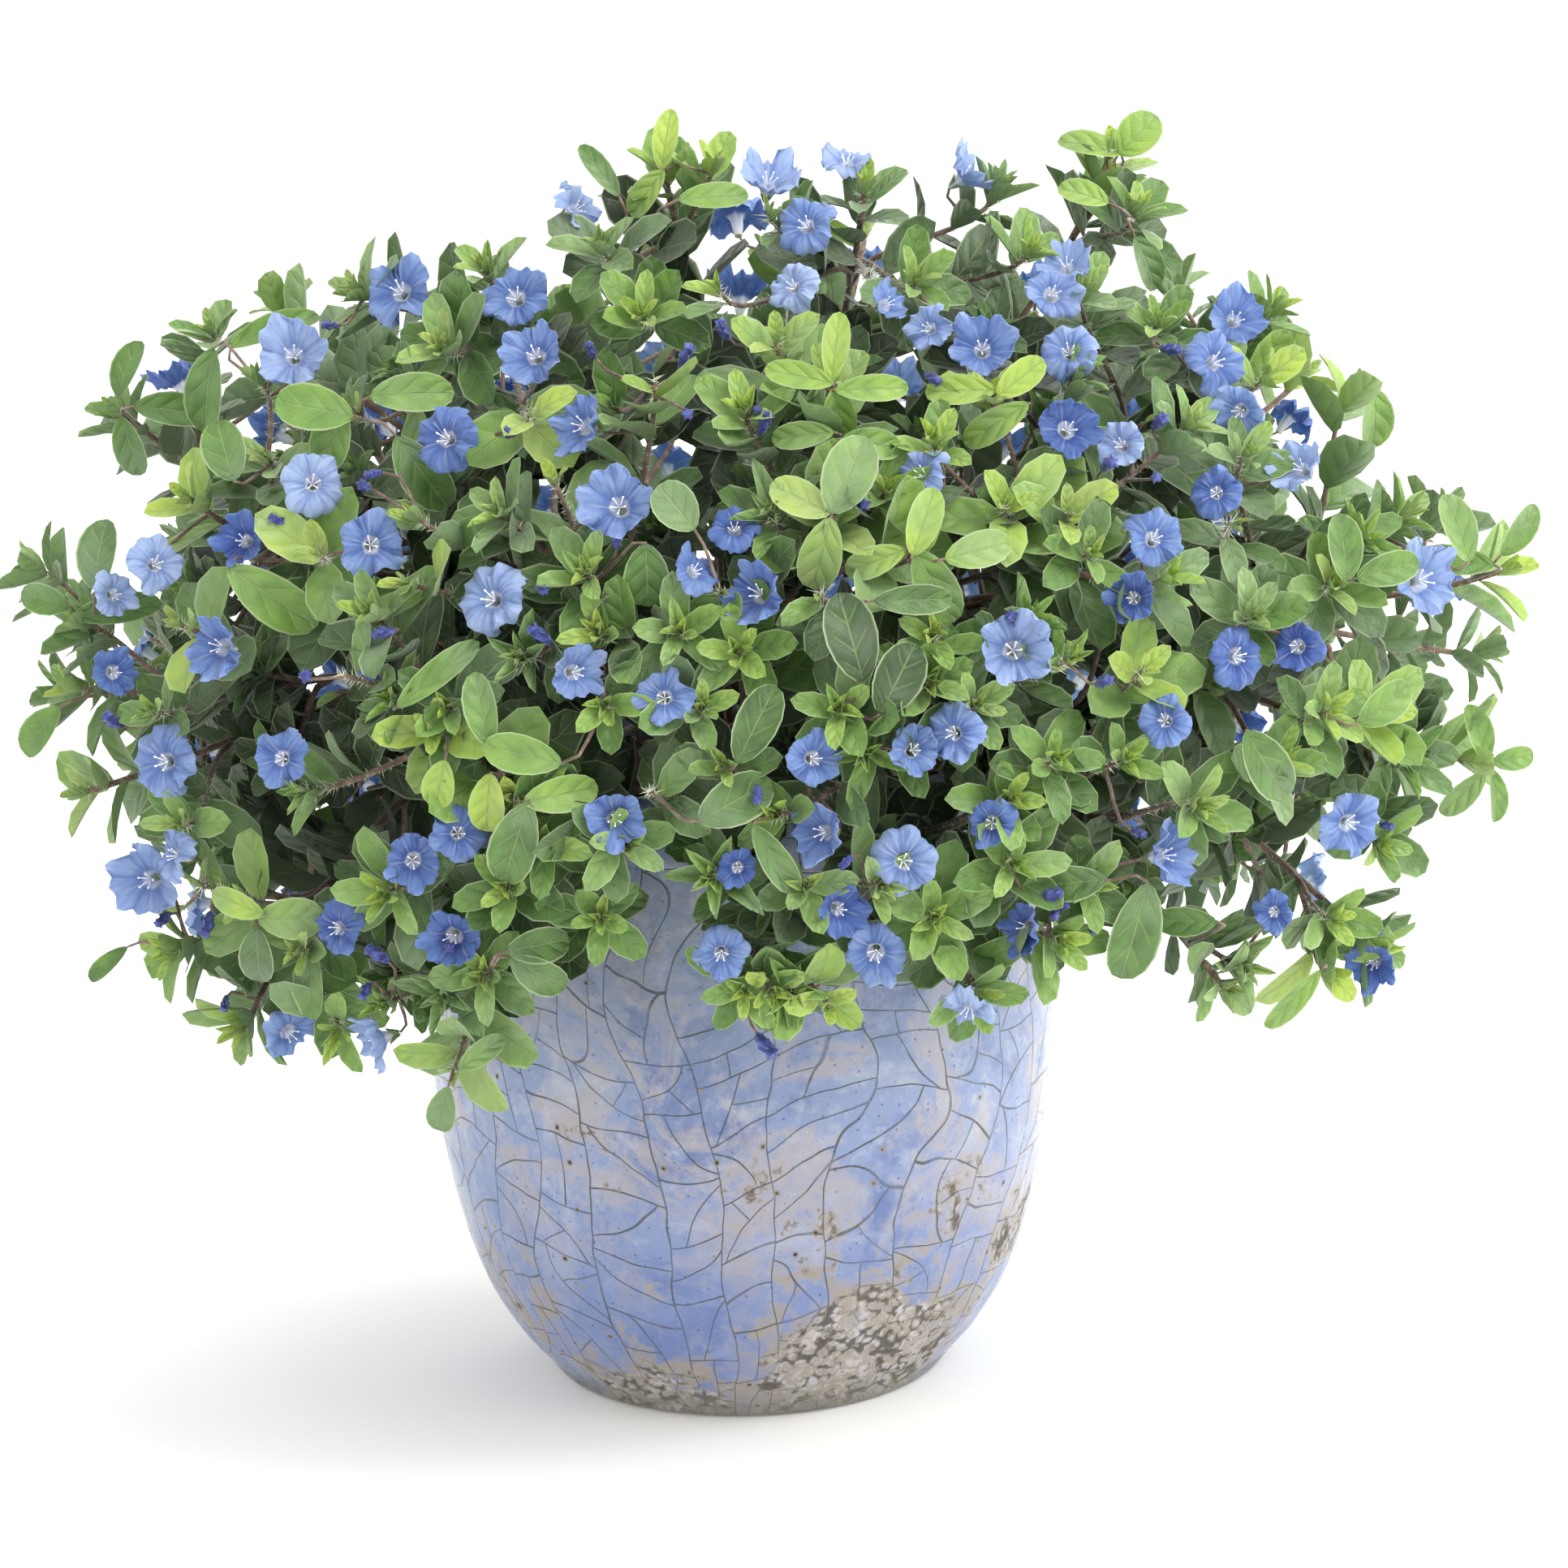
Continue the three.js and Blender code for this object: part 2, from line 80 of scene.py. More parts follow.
# The foliage's outline: height and the largest distance from its middle, in mm
FOLIAGE_OUTLINE = [
    (85, 150), (105, 190), (130, 212), (165, 226), (205, 238), (245, 240),
    (275, 232), (310, 210), (340, 178), (370, 124), (390, 76), (404, 20),
]

# The edge of the close leaves as the eye sees it, across and up in mm; only listed shoots reach past it
MASS_OUTLINE = [
    (-151, 94), (-167, 112), (-187, 130), (-197, 153), (-192, 171), (-205, 192), (-208, 215),
    (-208, 236), (-192, 254), (-185, 274), (-169, 292), (-159, 313), (-149, 323), (-123, 328),
    (-118, 341), (-97, 341), (-79, 344), (-56, 346), (-49, 356), (-38, 367), (-22, 372), (-4, 378),
    (21, 373), (45, 369), (55, 358), (68, 356), (88, 354), (106, 367), (127, 356), (135, 344),
    (145, 333), (155, 336), (173, 328), (181, 308), (176, 287), (184, 272), (191, 256), (199, 243),
    (194, 228), (199, 212), (199, 187), (204, 169), (202, 151), (199, 135), (189, 122), (158, 112),
    (147, 127), (124, 130), (99, 127), (86, 115), (68, 112), (29, 112), (6, 109), (-17, 130),
    (-33, 161), (-56, 163), (-74, 151), (-79, 127), (-92, 99), (-125, 97),
]

# Filling shoots, shell by shell: share of the mound's reach, spacing in mm, first turn and number of tries
SHELLS = ((0.95, 29, 0, 1500), (0.86, 29, 0, 1500), (0.8, 27, -180, 2600), (0.6, 30, -180, 1400))
SKIN = 0.84

# Stems: how a branch leaves the crown and how its tip points, as in the part's source
ROOT_LIFT = [(-40, 28), (88, 84)]
TIP_LIFT = [(100, -80), (150, -55), (190, -25), (240, 8), (300, 38), (390, 70)]
SWAYS = (0, 7, -7, 14, -14, 21, -21, 30, -30)

# Points along a stem's curve, and those of its outer part that flowers and twigs may start from
STEM_POINTS = 201
OUTER_PART = slice(60, 196, 6)

# Tips of the main branches in front, across and up in mm, as the eye sees them
LEADER_TIPS = [
    (-197, 300), (-82, 346), (-26, 378), (38, 370), (116, 382), (168, 333), (209, 267),
    (240, 250), (230, 190), (200, 130), (152, 118), (73, 115), (8, 117), (-91, 92),
    (-158, 106), (-209, 180), (-211, 213), (-176, 273), (-50, 249), (103, 268),
    (27, 267), (-98, 200), (73, 207),
]

# Tips of the main branches behind: degrees round from the right, and height
BACK_LEADER_TIPS = [
    (14, 214), (34, 300), (50, 170), (66, 262), (78, 345), (96, 205), (112, 318),
    (124, 168), (138, 268), (150, 336), (166, 214),
]

# Tips of the side shoots in front that the part's source has too
SIDE_TIPS = [
    (-153, 310), (-180, 130), (-13, 206), (-168, 325), (-123, 300), (-45, 352), (-8, 339),
    (80, 370), (77, 306), (106, 338), (124, 363), (192, 307), (165, 312), (185, 245),
    (133, 247), (184, 205), (143, 175), (200, 163), (99, 133), (43, 150), (-10, 153),
    (-37, 163), (-94, 115), (-113, 148), (-139, 180), (-127, 217), (-104, 267), (-77, 268),
    (-179, 233), (-209, 234), (-46, 230), (10, 172), (53, 254), (130, 328), (10, 323),
    (-68, 300), (-128, 104),
]
BACK_SIDE_TIPS = [
    (22, 255), (28, 190), (44, 330), (58, 215), (60, 300), (84, 235), (90, 300),
    (104, 260), (106, 170), (120, 230), (130, 310), (146, 215), (152, 292), (172, 260),
]

# Tips of more side shoots in front, which only the looks need
MORE_TIPS = [
    (-122, 338), (-28, 310), (-10, 378), (8, 362), (54, 341), (27, 310), (117, 373),
    (105, 313), (141, 296), (158, 286), (-187, 205), (-134, 255), (-117, 236), (-178, 169),
    (-70, 222), (-93, 207), (-111, 209), (-73, 178), (-107, 246), (-60, 278), (-8, 243),
    (8, 268), (24, 243), (83, 270), (38, 192), (90, 235), (45, 275), (110, 255),
    (154, 265), (103, 222), (126, 218), (195, 260), (209, 190), (199, 205), (-113, 113),
    (-172, 150), (-160, 145), (-82, 122), (0, 117), (15, 117), (85, 157), (27, 112),
    (157, 125), (185, 122), (185, 140), (-140, 130), (-20, 230), (60, 230), (160, 235),
    (-75, 150), (120, 190), (170, 190), (-150, 285), (-95, 320), (40, 345), (90, 350),
    (-2, 224), (30, 206), (-44, 207), (58, 214), (98, 190), (-6, 188), (-62, 162), (84, 178),
    (-30, 180), (20, 150), (-45, 140), (60, 140), (108, 150), (0, 300), (-32, 330), (60, 290),
]

# Tips that end in a few large light leaves, and tips whose rosette is narrow and hairy
LEAFY_TIPS = {
    (-123, 300), (-68, 300), (-26, 378), (-10, 378), (-28, 310), (10, 323), (27, 310),
    (77, 306), (116, 382), (165, 312), (192, 307), (-176, 273), (-209, 180), (-179, 233),
    (-134, 255), (-98, 200), (-73, 178), (-107, 246), (-60, 278), (27, 267), (53, 254),
    (83, 270), (103, 268), (126, 218), (240, 250), (199, 205), (-160, 145), (-91, 92),
    (27, 112), (185, 122), (230, 190),
}
WOOLLY_TIPS = {
    (80, 370), (105, 313), (-139, 180), (-70, 222), (-111, 209), (8, 268), (38, 192),
    (90, 235), (154, 265), (103, 222), (195, 260), (209, 267), (209, 190), (-94, 115),
    (-113, 113), (-172, 150), (-10, 153), (15, 117), (157, 125), (8, 362),
}

# Large leaves that stand out in front: across and up of the foot and of the point, width, tone
LARGE_LEAVES = [
    (-193, 303, -190, 322, 10, .45), (-188, 300, -167, 299, 11, .45), (-192, 297, -189, 279, 11, .45),
    (-158, 318, -133, 331, 9, .6), (-163, 318, -170, 292, 14, .5), (-120, 297, -147, 303, 15, .6),
    (-115, 303, -90, 306, 13, .65), (-123, 300, -132, 281, 14, .6), (-107, 291, -92, 268, 15, .42),
    (-157, 277, -165, 297, 15, .5), (-159, 251, -133, 231, 16, .68), (-200, 243, -201, 266, 14, .4),
    (-208, 238, -227, 243, 10, .5), (-207, 235, -182, 240, 10, .45), (-211, 207, -227, 192, 11, .55),
    (-107, 207, -83, 228, 9, .6), (-56, 190, -82, 195, 13, .65), (-66, 178, -76, 151, 16, .45),
    (-68, 178, -45, 182, 12, .78), (-78, 187, -81, 167, 12, .92), (-92, 191, -97, 175, 11, .85),
    (-78, 195, -85, 218, 11, .55), (-15, 262, -27, 277, 14, .55), (-30, 258, -30, 238, 15, .45),
    (27, 267, 38, 292, 17, .65), (27, 267, 8, 277, 12, .98), (27, 266, 21, 243, 14, .85),
    (50, 256, 31, 249, 10, .85), (52, 254, 60, 276, 11, .88), (53, 256, 66, 233, 14, .6),
    (62, 253, 84, 259, 12, .78), (37, 215, 30, 243, 17, .22), (42, 205, 54, 227, 16, .22),
    (40, 240, 66, 241, 10, .4), (-2, 190, 10, 214, 14, .35), (-14, 172, 9, 184, 16, .4),
    (3, 171, 17, 148, 10, .45), (125, 153, 118, 121, 17, .42), (112, 154, 92, 151, 12, .4),
    (155, 200, 170, 178, 15, .45), (186, 246, 187, 268, 12, .5), (189, 247, 212, 253, 11, .55),
    (190, 202, 209, 214, 12, .62), (229, 190, 228, 208, 9.5, .6), (231, 190, 248, 192, 8, .6),
    (231, 188, 237, 170, 7, .6), (229, 187, 218, 173, 9, .6), (224, 252, 220, 274, 12, .62),
    (232, 251, 210, 254, 10, .5), (234, 254, 249, 270, 9, .6), (194, 306, 198, 287, 12, .65),
    (115, 377, 129, 392, 13, .78), (116, 377, 98, 385, 9, .82), (112, 362, 98, 370, 9, .8),
    (120, 352, 130, 337, 10, .45), (88, 301, 68, 289, 10, .75), (78, 305, 56, 306, 10, .88),
    (78, 303, 94, 316, 10, .92), (28, 305, 52, 307, 9, .75), (28, 307, 6, 313, 9, .82),
    (27, 308, 30, 331, 9, .88), (28, 306, 31, 289, 11, .7), (28, 292, 8, 291, 9, .65),
    (30, 290, 50, 288, 10, .65), (-24, 372, -36, 360, 9, .82), (-20, 363, 2, 367, 9, .7),
    (-25, 372, -23, 394, 8, .97), (-38, 364, -51, 383, 7, .5), (-150, 142, -131, 141, 14, .78),
    (-148, 143, -167, 149, 9, .85), (-150, 139, -152, 120, 12, .3), (-190, 133, -206, 121, 6, .5),
    (-88, 95, -75, 104, 8, .6), (-91, 90, -96, 73, 10, .5), (-73, 132, -54, 134, 12, .4),
    (-72, 130, -55, 118, 12, .4), (146, 141, 128, 140, 10, .45), (178, 126, 163, 106, 8, .72),
]

# Flowers in front: across, up, width, tone from deep to pale, and degrees turned to the right and up
FRONT_BLOOMS = [
    (-107, 337, 23, .5), (-140, 317, 24, .85, -20, 0), (-134, 277, 22, .9, -30, 0),
    (-71, 335, 22, .45), (-65, 317, 22, .5), (-93, 291, 23, .3, 10, 0), (-51, 295, 22, .45, 35, 0),
    (-51, 362, 18, .9, -60, 10), (8, 371, 21, .85, -10, 20), (19, 357, 20, .5, 25, 0),
    (32, 377, 18, .85, 0, 30), (70, 373, 19, .8, -45, 10), (15, 338, 17, .9, 30, 0),
    (45, 333, 15, .6, -30, 0), (57, 325, 16, .7, 40, 0), (74, 319, 22, .5, 10, 0),
    (55, 280, 19, .6, 50, 20), (96, 336, 19, .6), (100, 345, 18, .85, 20, 20),
    (101, 318, 20, .6, 20, 10), (101, 294, 21, .2), (117, 289, 17, .85, 40, 10),
    (153, 328, 20, .5, 10, 0), (147, 315, 21, .45, -10, 0), (154, 299, 18, .6, 50, -20),
    (173, 282, 19, .9, 50, 20), (147, 274, 17, .25, 30, 0), (212, 247, 26, .72, 5, 0),
    (128, 260, 20, .45, 0, 10), (121, 241, 17, .15, 30, 0), (154, 223, 22, .2, -10, 0),
    (172, 226, 18, .15, 45, 0), (84, 225, 25, .7, 10, 0), (65, 199, 20, .5, 30, 0),
    (53, 194, 18, .5, -10, 10), (22, 191, 19, .4, -20, 0), (24, 168, 21, .45, 40, 0),
    (50, 159, 23, .65), (77, 171, 17, .2, 20, 0), (-39, 270, 25, .55), (-79, 241, 24, .72, 15, 5),
    (-52, 218, 20, .6, -35, 0), (-25, 210, 19, .5, 5, 0), (-40, 172, 20, .4, -10, 0),
    (-3, 263, 17, .2, 0, 30), (-15, 250, 17, .4, -40, 20), (4, 243, 23, .35, 30, 10),
    (-89, 168, 19, .4, -20, 10), (-103, 159, 20, .35, -20, 0), (-116, 258, 22, .5, -25, 0),
    (-156, 259, 18, .15, 0, 0), (-183, 252, 19, .85, -50, 10), (-196, 242, 16, .85, -60, 0),
    (-164, 226, 22, .45, 10, 0), (-181, 190, 24, .55, 0, 0), (-196, 218, 17, .3, -50, 0),
    (-144, 191, 19, .4, -10, 0), (-186, 153, 25, .7, -10, 0), (-178, 161, 19, .7, 40, 10),
    (-141, 105, 21, .5, -60, -20), (-115, 103, 20, .75, 50, -10), (-127, 138, 19, .2, 20, 0),
    (-91, 135, 21, .2, 0, -10), (189, 171, 22, .5, 0, 0), (132, 161, 22, .5, -35, 10),
    (-7, 130, 19, .5, 0, -10), (41, 130, 22, .5, 10, -10), (30, 144, 18, .15, -20, 0),
    (70, 112, 20, .8, 30, -50), (87, 138, 19, .15, 60, 0), (165, 143, 14, .3, 40, 0),
    (196, 127, 18, .2, 50, -10), (131, 203, 18, .4, 30, 10), (-2, 157, 14, .1, 0, 0),
]

# Flowers behind that the part's source has too: degrees round from the right, and height
BACK_BLOOMS = [
    (24, 232), (40, 282), (62, 322), (85, 215), (92, 322), (112, 290), (135, 236), (155, 312),
]

# Spent, rolled-up flowers and buds in front: across and up
SPENT_BLOOMS = [
    (-128, 327), (-118, 276), (-114, 281), (-74, 292), (-47, 317), (-18, 300), (-5, 323), (-20, 314),
    (57, 312), (3, 300), (5, 293), (88, 314), (131, 320), (129, 295), (113, 282), (129, 279),
    (-143, 265), (-196, 201), (-138, 216), (-110, 231), (-115, 216), (-40, 257), (-65, 245),
    (-61, 227), (38, 270), (4, 182), (84, 234), (111, 214), (-181, 142), (-168, 142), (-163, 116),
    (-112, 127), (-118, 120), (-93, 132), (34, 160), (4, 104), (98, 143), (93, 146), (197, 142),
    (122, 168), (97, 145), (112, 141), (200, 170),
]


def linear(colour: str) -> tuple[float, float, float, float]:
    """An sRGB hex colour as linear red, green, blue and alpha."""
    channels = [int(colour[i:i + 2], 16) / 255 for i in (1, 3, 5)]
    return (*(c / 12.92 if c <= 0.04045 else ((c + 0.055) / 1.055) ** 2.4 for c in channels), 1.0)


def between(pairs: Iterable[tuple[float, float]], at: float) -> float:
    """Value on a line through pairs of place and value, level past its ends."""
    places, values = zip(*pairs)
    return float(np.interp(at, places, values))


def unit(way: np.ndarray) -> np.ndarray:
    """A direction with a length of one."""
    return way / max(float(np.linalg.norm(way)), 1e-12)


def around(way: np.ndarray, turn: float, tilt: float = 0.01) -> np.ndarray:
    """The direction square to a way, at a turn about it from a start that the tilt keeps clear of it."""
    side = unit(np.cross(way, UP + tilt))
    return side * math.cos(turn) + np.cross(way, side) * math.sin(turn)


def shake(rng: random.Random, most: float) -> np.ndarray:
    """A small random step, up to the most on each axis."""
    return np.array([rng.uniform(-most, most) for _ in range(3)])


def metres(*place: float) -> tuple[float, ...]:
    """Millimetres as metres."""
    return tuple(value * MM for value in place)


def deselect() -> None:
    """Leave edit mode and deselect everything."""
    if bpy.context.object is not None and bpy.context.object.mode != "OBJECT":
        bpy.ops.object.mode_set(mode="OBJECT")
    bpy.ops.object.select_all(action="DESELECT")


def edit() -> None:
    """Open the active mesh for editing, with all of it selected."""
    bpy.ops.object.mode_set(mode="EDIT")
    bpy.context.tool_settings.mesh_select_mode = (True, False, False)
    bpy.ops.mesh.select_all(action="SELECT")


def pick(test: Callable[[Vector], bool]) -> None:
    """Select the vertices of the edited mesh whose place passes a test, and no others.

    Args:
        test: tells whether a vertex at a place is wanted.
    """
    mesh = bpy.context.object.data
    shape = bmesh.from_edit_mesh(mesh)
    for vertex in shape.verts:
        vertex.select_set(test(vertex.co))
    shape.select_flush_mode()
    bmesh.update_edit_mesh(mesh)


def close_seams(threshold: float) -> None:
    """Merge the doubled vertices of the edited mesh and turn its faces outwards.

    Args:
        threshold: how near two vertices are one, in metres.
    """
    bpy.ops.mesh.select_all(action="SELECT")
    bpy.ops.mesh.remove_doubles(threshold=threshold)
    bpy.ops.mesh.normals_make_consistent(inside=False)


def grow_rings(start: tuple[float, float], rings: Iterable[tuple[float, float]], twist: float = 0) -> None:
    """Extrude the selected ring of the edited mesh again and again.

    Args:
        start: the selected ring's radius and height in mm.
        rings: the radius and height of each ring that follows.
        twist: how far each is turned on from the last, in degrees.
    """
    radius, height = start
    for wider, higher in rings:
        bpy.ops.mesh.extrude_region_move(TRANSFORM_OT_translate={"value": metres(0, 0, higher - height)})
        bpy.ops.transform.resize(value=(wider / radius, wider / radius, 1))
        if twist:
            bpy.ops.transform.rotate(value=math.radians(twist), orient_axis="Z",
                                     center_override=metres(0, 0, higher))
        radius, height = wider, higher


def roughen(piece: bpy.types.Object, name: str, grain: float, strength: float, group: str = "",
            kind: str = "CLOUDS", middle: float = 0.5) -> bpy.types.Modifier:
    """Push the surface of a piece in and out by a noise.

    Args:
        piece: the piece, whose modifier is still to be applied.
        name: the noise's and the modifier's name.
        grain: the noise's grain, in metres.
        strength: how far it pushes, in metres.
        group: the vertex group that it keeps to, if any.
        kind: the noise's kind.
        middle: the noise's value that leaves the surface where it is.

    Returns:
        The modifier.
    """
    noise = bpy.data.textures.new(name, kind)
    noise.noise_scale = grain
    push = piece.modifiers.new(name, "DISPLACE")
    push.texture = noise
    push.texture_coords = "LOCAL"
    push.vertex_group = group
    push.strength = strength
    push.mid_level = middle
    return push


def apply_modifiers(piece: bpy.types.Object) -> None:
    """Apply all modifiers of the active object, in order."""
    for modifier in list(piece.modifiers):
        bpy.ops.object.modifier_apply(modifier=modifier.name)


def number_layer(mesh: bpy.types.Mesh, name: str, values: np.ndarray, domain: str = "POINT") -> None:
    """Write a number for each point or face of a mesh, which a material can read.

    Args:
        mesh: the mesh.
        name: the attribute's name.
        values: one number for each.
        domain: POINT or FACE.
    """
    layer = mesh.attributes.get(name) or mesh.attributes.new(name, "FLOAT", domain)
    layer.data.foreach_set("value", np.asarray(values, np.float32))


def points_of(mesh: bpy.types.Mesh) -> np.ndarray:
    """The places of a mesh's vertices, in rows.

    Args:
        mesh: the mesh.

    Returns:
        Their X, Y and Z in metres.
    """
    flat = np.empty(len(mesh.vertices) * 3, np.float32)
    mesh.vertices.foreach_get("co", flat)
    return flat.reshape(-1, 3).astype(float)


def take_mesh(piece: bpy.types.Object) -> bpy.types.Mesh:
    """Keep an object's mesh as a pattern to copy, and drop the object.

    Args:
        piece: the object.

    Returns:
        Its mesh.
    """
    mesh = piece.data
    bpy.data.objects.remove(piece)
    return mesh


def place_matrix(origin: np.ndarray, across: np.ndarray, along: np.ndarray, face: np.ndarray,
                 scale: tuple[float, float, float]) -> Matrix:
    """The matrix that lays a pattern's X, Y and Z on three directions, scaled, at an origin in mm.

    Args:
        origin: where the pattern's origin goes, in mm.
        across, along, face: unit directions for the pattern's X, Y and Z.
        scale: size along each of them.

    Returns:
        A matrix in metres.
    """
    rows = np.eye(4)
    rows[:3, 0] = across * scale[0]
    rows[:3, 1] = along * scale[1]
    rows[:3, 2] = face * scale[2]
    rows[:3, 3] = origin * MM
    return Matrix(rows.tolist())


@dataclass(frozen=True)
class Copy:
    """One copy of a pattern: the pattern, its place and the numbers that its material reads."""

    pattern: bpy.types.Mesh
    place: Matrix
    numbers: dict[str, float]


def join_copies(name: str, copies: list[Copy]) -> bpy.types.Object:
    """Lay out copies of patterns, each with its own mesh, and join them in one object.

    Args:
        name: the object's name.
        copies: what to lay out, at least one.

    Returns:
        The object.
    """
    deselect()
    for copy in copies:
        mesh = copy.pattern.copy()
        mesh.transform(copy.place)
        for key, value in copy.numbers.items():
            number_layer(mesh, key, np.full(len(mesh.vertices), value))
        piece = bpy.data.objects.new(name, mesh)
        bpy.context.scene.collection.objects.link(piece)
        piece.select_set(True)
    bpy.context.view_layer.objects.active = piece
    bpy.ops.object.join()
    joined = bpy.context.object
    joined.name = name
    return joined


def hand_over(piece: bpy.types.Object, slot: str, *stands_for: str) -> None:
    """Let a finished piece ride on the body, hide the nodes that it stands for, and log it with its slot.

    Args:
        piece: the finished piece.
        slot: its slot, which is only logged.
        stands_for: the CAD nodes that it takes the place of.
    """
    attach(piece, BODY)
    if stands_for:
        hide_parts(*stands_for)
    log.info("%s: %d faces, slot %s", piece.name, len(piece.data.polygons), slot)


# Kinds of node that are asked for by a short name: type, inputs in order, and settings
SHORT_KINDS = {
    "blend": ("Mix", (0, 6, 7), {"data_type": "RGBA"}),
    "range": ("MapRange", (0, 1, 2, 3, 4), {"interpolation_type": "SMOOTHSTEP"}),
}


def add_node(tree: bpy.types.NodeTree, kind: str, *values: object, stops: Iterable[tuple[float, str]] = (),
             **settings: object) -> bpy.types.bpy_prop_collection:
    """Add a shader node with its settings and links.

    Args:
        tree: the material's node tree.
        kind: the node's type without its ShaderNode prefix, a short kind, or a Math node's operation.
        values: for a type, inputs by name or number, and for the others, inputs in order. Each is a value
            or another node's output.
        stops: places and hex colours of a colour ramp.
        settings: the node's own settings.

    Returns:
        The new node's outputs.
    """
    short = ("Math", (0, 1, 2), {"operation": kind}) if kind.isupper() else (kind, None, {})
    type_name, keys, preset = SHORT_KINDS.get(kind, short)
    made = tree.nodes.new("ShaderNode" + type_name)
    for key, value in {**preset, **settings}.items():
        setattr(made, key, value)
    for key, value in (dict(zip(keys, values)) if keys else dict(*values)).items():
        if isinstance(value, Socket):
            tree.links.new(value, made.inputs[key])
        else:
            made.inputs[key].default_value = value
    if stops:
        ramp = made.color_ramp
        while len(ramp.elements) < len(stops):
            ramp.elements.new(1.0)
        for element, (at, colour) in zip(ramp.elements, stops):
            element.position = at
            element.color = linear(colour)
    return made.outputs


def new_material(name: str) -> tuple[bpy.types.Material, NodeMaker]:
    """Start a material with no nodes.

    Args:
        name: its name.

    Returns:
        The material, and what adds a node to it.
    """
    material = bpy.data.materials.new(name)
    material.use_nodes = True
    material.node_tree.nodes.clear()
    return material, partial(add_node, material.node_tree)


